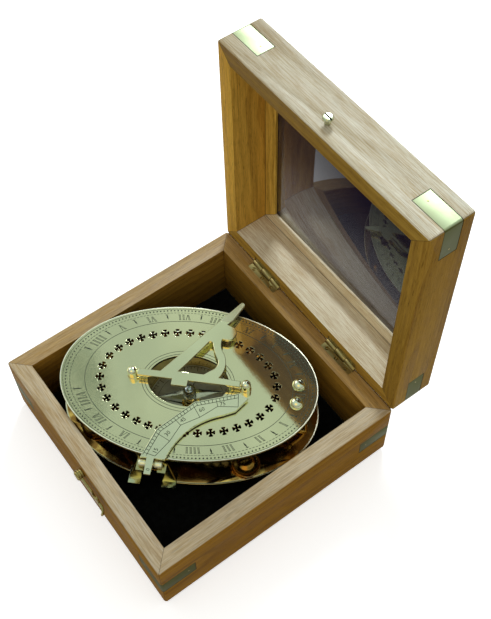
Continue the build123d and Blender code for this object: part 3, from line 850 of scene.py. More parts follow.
def board(node, slot, along, across, depth, number, ease=0.22, shade=(1.0, 1.0), sheen=(0.0, 0.0), rim=0):
    """A copied board with the grain's own coordinates: along it, across its face and into its depth. shade is
    how much lighter than the rest the wood is at the board's two ends, as numbers or colours, and in between it
    changes evenly; it holds the board's own tone and painted light together. The pair after it is how much
    painted sheen, pale and grey, lies on its upper face and on its front one. rim is the way across it to
    the rim where box and lid meet, and there the joint is closed to a hair."""
    piece = copied(node, WOOD_OF[slot], ease)
    points = np.empty(len(piece.data.vertices) * 3, np.float32)
    piece.data.vertices.foreach_get("co", points)
    points = points.reshape(-1, 3) / MM
    if rim:
        reach = points[:, across] * rim
        points[:, across] += np.where(reach > reach.max() - 0.01, RIM_CLOSED * rim, 0)
        piece.data.vertices.foreach_set("co", (points * MM).ravel())
    middle = (points.max(0) + points.min(0)) / 2
    shift = 21 * math.sin(2.4 * number + 0.7)
    grain = [
        points[:, along] + 531.0 * number,
        points[:, across] - middle[across] + shift,
        (points[:, depth] - middle[depth]) * (-1) ** number,
    ]
    share = points[:, along : along + 1] - points[:, along].min()
    share = share / share.max()
    first, last = (np.broadcast_to(np.array(end, float), 3) for end in shade)
    patterns = {
        "grain": np.column_stack(grain),
        "shade": first * (1 - share) + last * share,
        "sheen_amounts": np.tile([*sheen, 0.0], (len(points), 1)),
    }
    for name, values in patterns.items():
        attribute = piece.data.attributes.new(name, "FLOAT_VECTOR", "POINT")
        attribute.data.foreach_set("vector", values.astype(np.float32).ravel())


# Camera, from the photograph's viewpoint

EYE = Vector((252.1, -140.0, 570.2)) * MM
EYE_AZIMUTH = math.radians(55.029)
EYE_ELEVATION = math.radians(57.023)
EYE_ROLL = math.radians(-1.789)
LENS_MM = 59.77


def photo_camera():
    """The camera looks against the way that azimuth and elevation give, and roll turns it about that way."""
    flat, rise = math.cos(EYE_ELEVATION), math.sin(EYE_ELEVATION)
    back = Vector((math.sin(EYE_AZIMUTH) * flat, -math.cos(EYE_AZIMUTH) * flat, rise))
    level = Vector((math.cos(EYE_AZIMUTH), math.sin(EYE_AZIMUTH), 0))
    right = math.cos(EYE_ROLL) * level + math.sin(EYE_ROLL) * back.cross(level)
    data = bpy.data.cameras.new("photo_view")
    data.lens = LENS_MM
    data.clip_start = 0.01
    camera = placed("photo_view", data)
    axes = Matrix((right, back.cross(right), back)).transposed()
    camera.matrix_world = Matrix.Translation(EYE) @ axes.to_4x4()
    bpy.context.scene.camera = camera


photo_camera()

# Woodwork: each board's shade at its two ends, its own tone and painted light, and how much painted sheen lies on
# its upper face and its front one

X, Y, Z = 0, 1, 2
BOARD_EASE = 0.22
HINGED_EASE = 0.005
RAIL_EASE = 0.3
BASE_LOOKS = {
    "front": ((0.97, 0.97), (0.6, 0.0)),
    "right": ((1.0, 1.0), (0.55, 0.0)),
    "back": ((1.12, 1.12), (0.12, 0.0)),
    "left": ((1.0, 0.94), (0.3, 0.0)),
}
# The lid's front board turns pale and bluish towards one end: a painted reflection
LID_LOOKS = {
    "front": (((0.72, 0.71, 0.69), (1.08, 1.16, 1.30)), (0.78, 0.0)),
    "right": ((1.0, 1.0), (0.4, 0.0)),
    "back": ((1.15, 1.15), (0.95, 0.0)),
    "left": ((1.8, 1.8), (0.3, 0.0)),
}
RAIL_LOOKS = {
    "front": ((1.0, 1.0), (0.3, 0.0)),
    "right": ((1.2, 1.2), (0.3, 0.0)),
    "back": ((1.2, 1.2), (0.85, 0.9)),
    "left": ((1.75, 1.75), (0.3, 0.0)),
}
for number, side in enumerate(("front", "right", "back", "left")):
    runs_x = side in ("front", "back")
    ease = HINGED_EASE if side == "back" else BOARD_EASE
    long, deep = (X, Y) if runs_x else (Y, X)
    board(f"base_wall_{side}", "base_wood", long, Z, deep, number, ease, *BASE_LOOKS[side], 1)
    long, deep = (X, Z) if runs_x else (Z, X)
    board(f"lid_wall_{side}", "lid_wood", long, Y, deep, number + 4, ease, *LID_LOOKS[side], -1)
    board(f"lid_rail_{side}", "rail_wood", long, deep, Y, number + 8, RAIL_EASE, *RAIL_LOOKS[side])
board("base_floor", "base_wood", X, Y, Z, 13)

# Straps, flush in the wood, with a pin in each leg

PIN_FROM_CORNER = 17.5
PIN_HEAD = [(0, -0.3), (0.55, -0.3), (0.55, -0.02), (0.48, 0.03), (0.3, 0.07), (0, 0.08)]


def strap_pins(middle):
    """The eight pins of four straps: two on each side of the box, head outwards."""
    head = turned(PIN_HEAD, count=24)
    shapes = []
    for out in np.array([(0, -1, 0), (1, 0, 0), (0, 1, 0), (-1, 0, 0)]):
        along = np.cross((0, 0, 1), out)
        for way in (-1, 1):
            at = HALF * out + way * (HALF - PIN_FROM_CORNER) * along + [0, 0, middle]
            shapes.append(laid(head, at, out, along))
    return joined(shapes)


for part in ("base", "lid"):
    for corner in ("front_left", "front_right", "back_right", "back_left"):
        copied(f"{part}_strap_{corner}", BRASS_STRAP, 0.22)
make("base_strap_pins", strap_pins(STRAP_BASE_MIDDLE), "box_base", BRASS_HINGE)
make("lid_strap_pins", opened(strap_pins(BASE_H + STRAP_LID_MIDDLE)), "lid", BRASS_HINGE)

# Hinges, hook and catch

for name in ("left", "right"):
    for part, ease in (("base_leaf", 0.15), ("lid_leaf", 0.15), ("pin", 0.2)):
        copied(f"hinge_{name}_{part}", BRASS_HINGE, ease)
copied("latch_hook", BRASS_LATCH, 0.3, 3)
copied("hook_screw", BRASS_LATCH, 0.15)
copied("catch_pin", BRASS_CATCH, 0.15)

SLOT_DEEP = 0.28
HEAD_FOOT = -0.5
HINGE_SCREW = {"radius": 1.25, "dome": 0.07, "slot": 0.45}
SCREW_STEPS = (-8.6, 0.0, 8.6)
LEAF_MIDDLE = 3.95
HEAD_BELOW = 0.1


def slotted_head(radius, dome, slot, count=48):
    """A low screw head: height is dome x (1 - (r/radius)^2), less SLOT_DEEP where the distance from the
    slot's middle line is under half the slot."""
    rings = np.array([0.12, 0.3, 0.5, 0.68, 0.84, 0.95, 1.0])[:, None] * radius
    angle = np.arange(count) * 2 * math.pi / count
    x, y = rings * np.cos(angle), rings * np.sin(angle)
    z = dome * (1 - (rings / radius) ** 2) - SLOT_DEEP * (np.abs(y) < slot / 2)
    top = np.stack([x, y, z], -1)
    foot = top[-1:].copy()
    foot[..., 2] = HEAD_FOOT
    return capped_rows(np.concatenate([foot, top[::-1]]), [[0, 0, HEAD_FOOT], [0, 0, dome - SLOT_DEEP]])


def hinge_screws(lid):
    """Three screws to a leaf, their heads just below its face, their slots turned as they came."""
    head = slotted_head(**HINGE_SCREW)
    out = -1 if lid else 1
    shapes = []
    for x in HINGE_AT:
        for number, step in enumerate(SCREW_STEPS):
            turn = 0.6 + 1.3 * number
            at = (x + step, HALF - LEAF_MIDDLE, BASE_H - HEAD_BELOW * out)
            shapes.append(laid(head, at, (0, 0, out), (math.cos(turn), math.sin(turn), 0)))
    return joined(shapes)


make("hinge_base_screws", hinge_screws(False), "box_base", BRASS_LATCH)
make("hinge_lid_screws", opened(hinge_screws(True)), "lid", BRASS_LATCH)

# Velvet lining: a sheet over the floor, its rim rolled down to the boards

LINING_HALF = INNER - 0.2
LINING_ROLL = 1.4
LINING_RIM = LINING_LOW + 0.3


def lining(count=57):
    """Height is LINING_TOP less a little, with two long shallow waves, falling in a quarter round over the last
    LINING_ROLL to the rim; round each levelling screw's foot it goes over to the foot's own level, by
    exp(-distance^2 / 30)."""
    run = np.linspace(-1, 1, count)
    run = LINING_HALF * np.sign(run) * (1 - (1 - np.abs(run)) ** 1.5)
    x, y = np.meshgrid(run, run, indexing="ij")
    edge = np.clip((LINING_HALF - np.maximum(np.abs(x), np.abs(y))) / LINING_ROLL, 0, 1)
    round_over = np.sqrt(1 - (1 - edge) ** 2)
    wave = 0.07 * np.sin(x / 9 + 1.3 * np.sin(y / 17)) * np.cos(y / 12 + 0.7) - 0.09
    for foot_x, foot_y, _ in seated((np.array([(*at, 0.0) for at in SCREW_AT]), []))[0]:
        near = np.exp(-(((x - foot_x) ** 2 + (y - foot_y) ** 2) / 30))
        wave = wave * (1 - near) - 0.02 * near
    top = LINING_RIM + (LINING_TOP - LINING_RIM + wave) * round_over
    layers = [np.stack([x, y, z], -1).reshape(-1, 3) for z in (top, np.full_like(x, LINING_LOW + 0.02))]
    i = np.arange(count - 1)[:, None] * count + np.arange(count - 1)[None, :]
    quads = np.stack([i, i + count, i + count + 1, i + 1], -1).reshape(-1, 4)
    n = count * count
    grid = np.arange(n).reshape(count, count)
    rim = np.concatenate([grid[:, 0], grid[-1, 1:], grid[-2::-1, -1], grid[0, -2:0:-1]])
    after = np.roll(rim, -1)
    return np.concatenate(layers), [quads, quads[:, ::-1] + n, np.stack([rim, rim + n, after + n, after], -1)]


velvet = make("velvet_lining", lining(), "box_base", VELVET, ("floor_lining",), 60)

# The pane in the lid

pane = copied("lid_pane", PANE, 0.15)
pane.visible_shadow = False

# Lower plate, brackets and hinges of the instrument

for node, finish, ease in (
    ("lower_plate", BRASS_PLATE, 0.3),
    ("dial_hinge_post", BRASS_PLATE, 0.3),
    ("arm_bracket_left", BRASS_BRACKET, 0.2),
    ("arm_bracket_right", BRASS_BRACKET, 0.2),
    ("dial_hinge_leaf", BRASS_PLATE, 0.15),
    ("arm_hinge_plate", BRASS_PLATE, 0.15),
    ("dial_hinge_pin", BRASS_PLATE, 0.3),
):
    copied(node, finish, ease)
for side in ("left", "right"):
    copied(f"gnomon_pivot_{side}", BRASS_TURNED, 0.15)

# Compass: profiles are (radius, height)


def spun(node, profile, count, body, finish, at=(0.0, 0.0)):
    """A node's piece, turned from its profile at its place on the instrument."""
    make(node + "_shown", seated(turned(profile, at, count)), body, finish, (node,))


BOWL_IN = 26.0
BOWL_PROFILE = [(0, PLATE_TOP), (BOWL_R, PLATE_TOP), (BOWL_R, BOWL_TOP)]
BOWL_PROFILE += [(BOWL_IN, BOWL_TOP), (BOWL_IN, CARD_LOW), (0, CARD_LOW)]
CARD_FACE = CARD_TOP - 0.05
CARD_PROFILE = [(0, CARD_LOW), (25.8, CARD_LOW), (25.8, CARD_FACE), (0, CARD_FACE)]
PILLAR_PROFILE = [(0, CARD_TOP), (5.4, CARD_TOP), (5.4, 27.5), (3.9, 28.3), (3.3, 29.3), (3.3, 32.0), (3.6, 32.4)]
PILLAR_PROFILE += [(3.6, 33.6), (2.6, 34.9), (0.6, 35.0), (0.6, 39.2), (0, 40.0)]
CAP_PROFILE = [(0, 35.7), (2.9, 35.7), (2.9, 37.1), (3.8, 37.1), (3.8, 39.6), (3.45, 39.9), (3.45, 40.5)]
CAP_PROFILE += [(3.75, 40.8), (3.75, 41.9), (2.5, 43.5), (1.2, 43.95), (0, 44.0)]
ROSE_R = 24.6
NEEDLE_Z = 36.5
NEEDLE_HALF = 20.0
NEEDLE_TURN = math.radians(12.5)


def compass_rose():
    """A ring of marks at every five degrees, longer at each ten and longest at each thirty, and an eight-pointed
    star of which one half of each point is filled, all as flat filling."""
    cut = (CARD_TOP - 0.12, CARD_TOP - 0.03)
    number = np.arange(72)
    length = np.where(number % 6 == 0, 3.0, np.where(number % 2 == 0, 1.9, 1.1))
    way = ways(np.radians(5 * number))
    side = left_of(way) * 0.16
    outer = way * ROSE_R
    inner = way * (ROSE_R - length)[:, None]
    marks = np.stack([inner - side, outer - side, outer + side, inner + side], 1)
    number = np.arange(8)
    tips = np.radians(number * 45.0)
    tip = ways(tips) * np.where(number % 2 == 0, 18.0, 12.0)[:, None]
    notch = ways(tips + math.pi / 8)
    halves = np.stack([notch * 2.0, tip, notch * 5.2], 1)
    circles = [stroke(ellipse(r, r, 96), wide, *cut, closed=True) for r, wide in ((ROSE_R, 0.25), (20.4, 0.2))]
    return joined([prisms(marks, *cut), prisms(halves, *cut), *circles])


def needle_blade(count=25):
    """A rhombus from -NEEDLE_HALF to NEEDLE_HALF, its half width 4 x (1 - |s|) along s from -1 to 1, with a
    ridge down the middle of each face."""
    s = np.linspace(-1, 1, count)
    half = np.maximum(4.0 * (1 - np.abs(s)), 0.12)
    ridge = 0.18 + 0.32 * np.minimum(1, half / 2)
    across = np.array([-1, -0.12, 0.12, 1, 1, 0.12, -0.12, -1])
    lift = np.array([-1, 0, 0, -1, -1, 0, 0, -1])
    sign = np.array([-1, -1, -1, -1, 1, 1, 1, 1])
    v = half[:, None] * across
    height = ridge[:, None] + lift * (ridge[:, None] - 0.16)
    u = np.repeat(NEEDLE_HALF * s[:, None], 8, 1)
    points = np.stack([u, v, NEEDLE_Z + sign * height], -1).reshape(-1, 3)
    ends = np.arange(8)
    c, q = math.cos(NEEDLE_TURN), math.sin(NEEDLE_TURN)
    points = points @ np.array([[c, q, 0], [-q, c, 0], [0, 0, 1]])
    return points, [wrapped(count, 8), ends[None, ::-1], ends[None, :] + 8 * (count - 1)]


spun("compass_bowl", eased(BOWL_PROFILE, 0.35), 128, "instrument", BRASS_BOWL)
spun("compass_card", eased(CARD_PROFILE, 0.15, 2), 96, "instrument", CARD)
make("compass_rose", seated(compass_rose()), "instrument", WAX)
spun("compass_pillar", eased(PILLAR_PROFILE, 0.3), 64, "instrument", BRASS_TURNED)
make("needle_blade_shown", seated(needle_blade()), "needle", STEEL_PALE, ("needle_blade",), 20)
spun("needle_cap", eased(CAP_PROFILE, 0.3), 64, "needle", STEEL_CAP)

# Levelling screws with milled knobs

KNOB_PROFILE = [(0, 8.0), (3.2, 8.0), (3.2, 9.2), (2.0, 10.4), (2.0, 24.5), (7.4, 24.5), (7.75, 24.8), (8.0, 25.1)]
KNOB_PROFILE += [(8.0, 27.9), (7.75, 28.3), (7.1, 28.9), (5.2, 29.0), (4.6, 29.2), (3.8, 30.0), (2.2, 30.4)]
KNOB_PROFILE += [(0, 30.5)]
KNOB_MILLING = {"count": 240, "flutes": 60, "flute": 0.22, "fluted": (6, 10)}
for number, at in enumerate(SCREW_AT, 1):
    node = f"levelling_screw_{number}"
    shape = seated(turned(KNOB_PROFILE, at, **KNOB_MILLING))
    make(node + "_shown", shape, f"leveller_{number}", BRASS_KNOB, (node,))

# Dial plate, pierced with crosses

CROSS_COUNT = 36
CROSS_A = 51.4
CROSS_B = 32.5
CROSS_CENTRE = np.array([0.0, -0.5])
CROSS_ARM = [(0.52, -0.52), (1.15, -0.60), (1.62, -1.06), (2.36, -1.22)]
CROSS_ARM += [(2.55, 0.0), (2.36, 1.22), (1.62, 1.06), (1.15, 0.60)]


def even_steps(a, b, count, offset):
    """Angles of an ellipse's points that lie equal lengths of its line apart, by summing its line's length."""
    t = np.linspace(0, 2 * math.pi, 4001)
    speed = np.hypot(a * np.sin(t), b * np.cos(t))
    length = np.concatenate([[0], np.cumsum((speed[1:] + speed[:-1]) / 2)])
    return np.interp((np.arange(count) + offset) / count * length[-1], length, t)


def crosses():
    """Cross outlines: one arm's corners, turned to four, each cross square to its ellipse. Two swells of the
    angle, t + k exp(-((t - t0) / w)^2), crowd them a little where the maker did."""
    quarter = [np.array(CROSS_ARM)]
    for _ in range(3):
        quarter.append(quarter[-1] @ np.array([[0, 1], [-1, 0]]))
    cross = np.concatenate(quarter)
    t = even_steps(CROSS_A, CROSS_B, CROSS_COUNT, 0.5)
    t = t + 0.032 * np.exp(-(((t - 4.15) / 0.42) ** 2)) + 0.018 * np.exp(-(((t - 1.8) / 0.5) ** 2))
    facing = np.arctan2(CROSS_A * np.sin(t), CROSS_B * np.cos(t))
    middles = np.array([CROSS_A, CROSS_B]) * ways(t) + CROSS_CENTRE
    c, s = np.cos(facing), np.sin(facing)
    turns = np.stack([np.stack([c, s], -1), np.stack([-s, c], -1)], 1)
    return list(cross @ turns + middles[:, None])


openings = [ellipse(HOLE_A, HOLE_B, 160), *crosses()]
dial_shape = plate(ellipse(DIAL_A, DIAL_B, 320), DIAL_LOW, DIAL_TOP, 0.45, openings, low_ease=0.25)
make("dial_plate_shown", seated(dial_shape), "dial", BRASS_DIAL, ("dial_plate",))
# A pale band round the dial's rim: a painted highlight
dial_lines = [ellipse(DIAL_A - d, DIAL_B - d, 320) for d in (0.65, 0.12)]
dial_edge = band(*dial_lines, DIAL_TOP - 0.35, DIAL_TOP + 0.03)
make("dial_rim_edge", seated(dial_edge), "dial", BRASS_EDGE_HIGHLIGHT)

# The lower plate's bright edge, a painted highlight, from one side of its notch round to the other

NOTCH_END = 254.5
NOTCH_START = -95.3
beside_notch = ways(np.radians(np.linspace(NOTCH_START, NOTCH_END, 320)))
plate_lines = [beside_notch * (PLATE_EDGE_A - d, PLATE_EDGE_B - d) for d in (PLATE_EDGE_WIDE, 0.0)]
plate_edge = band(*plate_lines, PLATE_TOP - 0.4, PLATE_TOP + 0.02, closed=False)
make("lower_plate_edge", seated(plate_edge), "instrument", BRASS_EDGE_HIGHLIGHT)


# The dial's engraving: everything is laid out by angle t and share k of the plate's own ellipse

ENGRAVED_OFF = (0.2, -0.4)
DIAL_CUT = (DIAL_TOP - DEEP, DIAL_TOP + PROUD)
DIAL_LINES = ((0.977, 0.28), (0.805, 0.32))
HOLE_LINES = ((26.9, 19.8), (25.1, 17.9))
MARKS = 180
FIRST_HOUR = 27
HOUR_STEP = 18
NUMERAL_FOOT = 0.898
NUMERAL_HEAD = 0.826
THIN = 0.32


def on_dial(t, k):
    """A point at share k of the plate's ellipse, whose centre the engraver missed by a little."""
    return np.array([DIAL_A, DIAL_B]) * np.expand_dims(k, -1) * ways(t) + ENGRAVED_OFF


def run_at(t):
    """Millimetres along the plate's ellipse for each radian at angle t: root((a sin t)^2 + (b cos t)^2)."""
    return np.hypot(DIAL_A * np.sin(t), DIAL_B * np.cos(t))


def round_marks(t, half, corners):
    """An outline at each angle t, of corners (s, k) at the angle t + s x half and the share k."""
    return np.stack([on_dial(t + s * half, k) for s, k in corners], 1)


def slanted(x0, x1, y0=0.0, y1=1.0, width=THIN):
    """One stroke of a numeral: x in millimetres along the line, y from its foot 0 to its head 1."""
    h = width / 2
    return [(x0 - h, y0), (x0 + h, y0), (x1 + h, y1), (x1 - h, y1)]


def serif(x, y, reach=0.72):
    """A short flat stroke across the end of another."""
    return [(x - reach, y - 0.03), (x + reach, y - 0.03), (x + reach, y + 0.03), (x - reach, y + 0.03)]


def letter_i(x):
    """A broad stroke, drawn as its two edges, between serifs."""
    return [slanted(x - 0.33, x - 0.33), slanted(x + 0.33, x + 0.33), serif(x, 0.02), serif(x, 0.98)]


def letter_v(x):
    """A broad stroke and a thin one that meet at the foot."""
    thick = [slanted(x - 0.3, x - 1.35), slanted(x + 0.25, x - 0.65)]
    return [*thick, slanted(x + 0.15, x + 1.25), serif(x - 1.0, 0.98), serif(x + 1.2, 0.98, 0.5)]


def letter_x(x):
    """A broad stroke and a thin one that cross."""
    thick = [slanted(x + 0.75, x - 1.35), slanted(x + 1.35, x - 0.75)]
    ends = [serif(x - 1.05, 0.98), serif(x + 1.1, 0.98, 0.5), serif(x - 1.1, 0.02, 0.5), serif(x + 1.05, 0.02)]
    return [*thick, slanted(x - 1.1, x + 1.1), *ends]


# How each letter is drawn, and how far on the next one starts
LETTERS = {"I": (letter_i, 2.3), "V": (letter_v, 3.3), "X": (letter_x, 3.3)}


def numeral(text, degrees):
    """The strokes of a Roman numeral, centred at an angle and bent round the dial."""
    x = -sum(LETTERS[c][1] for c in text) / 2
    strokes = []
    for c in text:
        draw, advance = LETTERS[c]
        strokes += draw(x + advance / 2)
        x += advance
    strokes = np.array(strokes)
    middle = math.radians(degrees)
    t = middle + strokes[..., 0] / (NUMERAL_FOOT * run_at(middle))
    return on_dial(t, NUMERAL_FOOT + (NUMERAL_HEAD - NUMERAL_FOOT) * strokes[..., 1])


AFTERNOON = ("I", "II", "III", "IIII", "V", "VI", "VII", "VIII")
MORNING = ("XI", "X", "IX", "VIII", "VII", "VI", "V", "IIII")
NUMERALS = {0: "XII"}
for cell, (afternoon, morning) in enumerate(zip(AFTERNOON, MORNING)):
    NUMERALS[-FIRST_HOUR - HOUR_STEP * cell] = afternoon
    NUMERALS[FIRST_HOUR + HOUR_STEP * cell] = morning


def dial_engraving():
    """Two lines round the dial and two round its opening; dots and dashes at even steps; a spear with a bar
    across it between each two hours; and the numerals."""
    t = np.arange(256) * math.pi / 128
    shapes = [stroke(on_dial(t, k), wide, *DIAL_CUT, closed=True) for k, wide in DIAL_LINES]
    shapes += [stroke(ellipse(a, b, 160, (0.0, -0.3)), 0.3, *DIAL_CUT, closed=True) for a, b in HOLE_LINES]
    t = even_steps(DIAL_A, DIAL_B, MARKS, 0.0)
    half = 0.65 * math.pi / MARKS * run_at(t).mean() / run_at(t)
    edges = np.radians([s * d for s in (-1, 1) for d in range(HOUR_STEP, 163, HOUR_STEP)])
    wide = 0.5 / (0.87 * run_at(edges))
    for outlines in (
        on_dial(t, 0.955)[:, None] + 0.5 * ways(np.arange(8) * math.pi / 4),
        round_marks(t, half, ((-1, 0.9195), (-1, 0.9245), (1, 0.9245), (1, 0.9195))),
        round_marks(edges, wide, ((0, 0.833), (1, 0.868), (0, 0.915), (-1, 0.868))),
        round_marks(edges, 1.7 * wide, ((-1, 0.897), (1, 0.897), (1, 0.903), (-1, 0.903))),
        np.concatenate([numeral(text, degrees) for degrees, text in NUMERALS.items()]),
    ):
        shapes.append(prisms(outlines, *DIAL_CUT))
    return joined(shapes)


make("dial_engraving", seated(dial_engraving()), "dial", WAX)

# Dome nuts over the dial's hinge

DOME_U = 63.5
DOME_PROFILE = [(0, 49.9), (1.15, 49.9), (1.15, 52.8), (3.9, 52.95), (3.9, 53.3), (3.72, 54.2), (3.2, 55.1)]
DOME_PROFILE += [(2.4, 55.8), (1.3, 56.25), (0, 56.4)]
for side, v in (("near", -6.0), ("far", 6.0)):
    profile = eased(DOME_PROFILE, 0.25, 2)
    spun(f"dome_nut_{side}", profile, 64, "dial", BRASS_DOME, (DOME_U, v))

# Gnomon and its posts

POST_PROFILE = [(0, DIAL_TOP), (3.1, DIAL_TOP), (3.1, 53.5), (2.8, 53.8), (2.8, POST_SHOULDER), (2.7, 58.7)]
POST_PROFILE += [(2.3, 59.5), (1.6, 60.1), (0.8, 60.35), (0, 60.4)]
for side, u in zip(("left", "right"), POST_U):
    spun(f"gnomon_post_{side}", POST_PROFILE, 64, "dial", BRASS_POST, (u, POST_V))

BARREL_LONG = 5.5
BARRELS_FROM = POST_U[0] + 3.3
BARRELS_TO = POST_U[1] - 3.3
BARREL_PROFILE = [(0, 0), (1.35, 0), (1.6, 0.25), (1.6, 1.2), (1.3, 1.35), (1.3, 1.75), (1.6, 1.9), (1.6, 3.0)]
BARREL_PROFILE += [(1.3, 3.15), (1.3, 3.55), (1.6, 3.7), (1.6, 5.25), (1.35, BARREL_LONG), (0, BARREL_LONG)]


def gnomon_outline():
    """Straight runs along the foot, with its tab, then circles through three points each: up the curled strut,
    out to its rounded head, and round the pointed end."""
    low, high = -2.7, 1.4
    corners = [(-16.1, high), (BARRELS_FROM, high), (BARRELS_FROM, low), (-8.6, low), (-8.6, -6.6), (0.6, -6.6)]
    corners += [(0.6, low), (BARRELS_TO, low), (BARRELS_TO, 0.9)]
    curve = [
        np.array(corners, float),
        arc_through((18.0, high), (20.4, 9.2), (18.3, 17.5)),
        arc_through((18.3, 17.5), (15.9, 22.3), (15.8, 27.2)),
        arc_through((15.8, 27.2), (20.6, 27.6), (23.3, 31.6)),
        arc_through((23.3, 31.6), (22.6, 34.6), (19.9, 36.3)),
        np.array([(19.9, 36.3), (17.4, 37.3), (20.3, 41.3)], float),
        arc_through((24.9, 51.1), (25.0, 53.0), (23.2, 53.9), 6),
        np.array([(23.2, 53.9)], float),
    ]
    return np.concatenate(curve)


def gnomon_window():
    """The opening inside the strut: a straight side, and circles through three points each round the rest."""
    curve = [
        np.array([(-5.9, 2.4)], float),
        arc_through((8.3, 24.5), (9.8, 24.6), (10.9, 22.9), 6),
        arc_through((10.9, 22.9), (13.0, 17.4), (15.6, 12.7)),
        arc_through((15.6, 12.7), (15.4, 8.6), (12.7, 5.6)),
        np.array([(12.7, 5.6), (8.9, 2.4)], float),
    ]
    return np.concatenate(curve)


def lying(profile, u0, v, z, count=32):
    """A profile of (radius, way along) turned about an axis that runs along U from u0."""
    return laid(turned(profile, count=count), (u0, v, z), (1, 0, 0), (0, 0, 1))


gnomon_shapes = [plate(gnomon_outline(), GNOMON_Z, GNOMON_Z + GNOMON_THICK, 0.3, [gnomon_window()], 0.3)]
for u0 in (BARRELS_FROM, BARRELS_TO - BARREL_LONG):
    gnomon_shapes.append(lying(BARREL_PROFILE, u0, POST_V, GNOMON_AXIS_Z))
make("gnomon_shown", seated(joined(gnomon_shapes)), "gnomon_plate", BRASS_GNOMON, ("gnomon",))

# Latitude arm

ROOT_V = -51.8
ARM_EDGE = np.array([(30.7, -5.6), (6.4, -14.5), (-11.5, -33.9), (-17.2, ROOT_V)])
ARM_TIP = [(30.2, -17.0), (36.2, -8.4)]
TONGUE_U = (-13.6, -9.5)
TONGUE_END = -61.6
TONGUE_MIDDLE = (TONGUE_U[0] + TONGUE_U[1]) / 2
STEM = [(-0.6, -1.1), (0.6, -1.1), (0.6, 1.1), (-0.6, 1.1)]
BAR_PROFILE = [(0, 0), (1.3, 0), (1.8, 0.2), (2.0, 0.7), (2.0, 3.8), (1.8, 4.3), (1.3, 4.5), (0, 4.5)]
NECK_PROFILE = [(0, 0), (1.2, 0), (1.2, 11.5), (0, 11.5)]


def round_arm(radius, degrees):
    """Points at a radius and an angle from the arm's centre."""
    return np.expand_dims(radius, -1) * ways(np.radians(degrees)) + ARM_CENTRE


def edge_radius(degrees, depth):
    """Distance from the arm's centre to its outer edge moved in by depth: the least of the three straight
    runs' own distances over the cosine of the angle from their square."""
    way = np.diff(ARM_EDGE, axis=0)
    out = left_of(way / np.linalg.norm(way, axis=1)[:, None])
    out *= np.sign((out * (ARM_EDGE[:-1] - ARM_CENTRE)).sum(1))[:, None]
    reach = (out * (ARM_EDGE[:-1] - ARM_CENTRE)).sum(1) - depth
    facing = ways(np.radians(degrees)) @ out.T
    return (reach / np.maximum(facing, 0.1)).min(-1)


def arm_outline():
    """The inner edge, a circle about the arm's centre from the root up to 110 degrees, then the tip, the three
    straight runs of the outer edge and the tongue."""
    root = 180 - math.degrees(math.asin((ROOT_V - ARM_CENTRE[1]) / ARM_IN))
    inner = round_arm(ARM_IN, np.linspace(root, 110, 40))
    u0, u1 = TONGUE_U
    tongue = [(u0, ROOT_V), (u0 + 0.2, TONGUE_END), (u1 - 0.2, TONGUE_END), (u1, ROOT_V)]
    return np.concatenate([inner, ARM_TIP, ARM_EDGE, tongue])


stem = np.array(STEM) + (TONGUE_MIDDLE, BAR_V)
arm_shapes = [plate(arm_outline(), ARM_Z, ARM_TOP, 0.15, low_ease=0.06), plate(stem, BAR_Z, ARM_Z + 0.3, 0.1)]
make("latitude_arm_shown", seated(joined(arm_shapes)), "arm", BRASS_ARM, ("latitude_arm",))
bar_parts = ((BAR_PROFILE, -18.2, 40), (BAR_PROFILE, -9.3, 40), (NECK_PROFILE, -17.2, 32))
bar_shapes = [lying(profile, u0, BAR_V, BAR_Z, count) for profile, u0, count in bar_parts]
make("arm_cross_bar", seated(joined(bar_shapes)), "arm", BRASS_BAR)

# The arm's scale: the angle of each mark, and the distance of the line inside the figures from the arm's centre

ARM_CUT = (ARM_TOP - DEEP, ARM_TOP + PROUD)
FIGURES_BEFORE = 3.6
FIGURES_RADIUS = 47.8
SCALE_AT = {15: 168.5, 30: 154.3, 45: 140.5, 60: 126.2, 75: 111.8, 90: 97.9}
CHORD_RADIUS = {15: 47.8, 30: 45.0, 45: 47.1, 60: 45.0, 75: 47.8, 90: 46.1}
RUNG_OUT = 0.75
RUNG_IN = 2.75
END_IN = 0.4


def words(text, size, at, facing):
    """Plain figures, cut as flat filling: at is the middle of their foot, facing the way their tops point."""
    low, high = ARM_CUT
    curve = bpy.data.curves.new("figures", "FONT")
    curve.body = text
    curve.size = size
    curve.align_x = "CENTER"
    curve.extrude = (high - low) / 2
    curve.resolution_u = 2
    holder = placed("figures", curve)
    bpy.context.view_layer.update()
    seen = holder.evaluated_get(bpy.context.evaluated_depsgraph_get())
    mesh = bpy.data.meshes.new_from_object(seen)
    whole = bmesh.new()
    whole.from_mesh(mesh)
    bmesh.ops.remove_doubles(whole, verts=whole.verts, dist=1e-4)
    bmesh.ops.triangulate(whole, faces=whole.faces)
    points = np.array([v.co[:] for v in whole.verts])
    faces = np.array([[v.index for v in f.verts] for f in whole.faces])
    whole.free()
    bpy.data.objects.remove(holder)
    bpy.data.meshes.remove(mesh)
    bpy.data.curves.remove(curve)
    up = np.array(facing) / np.linalg.norm(facing)
    flat = points[:, :1] * np.array([up[1], -up[0]]) + points[:, 1:2] * up + np.array(at)
    return np.column_stack([flat, points[:, 2] + (low + high) / 2]), [faces]


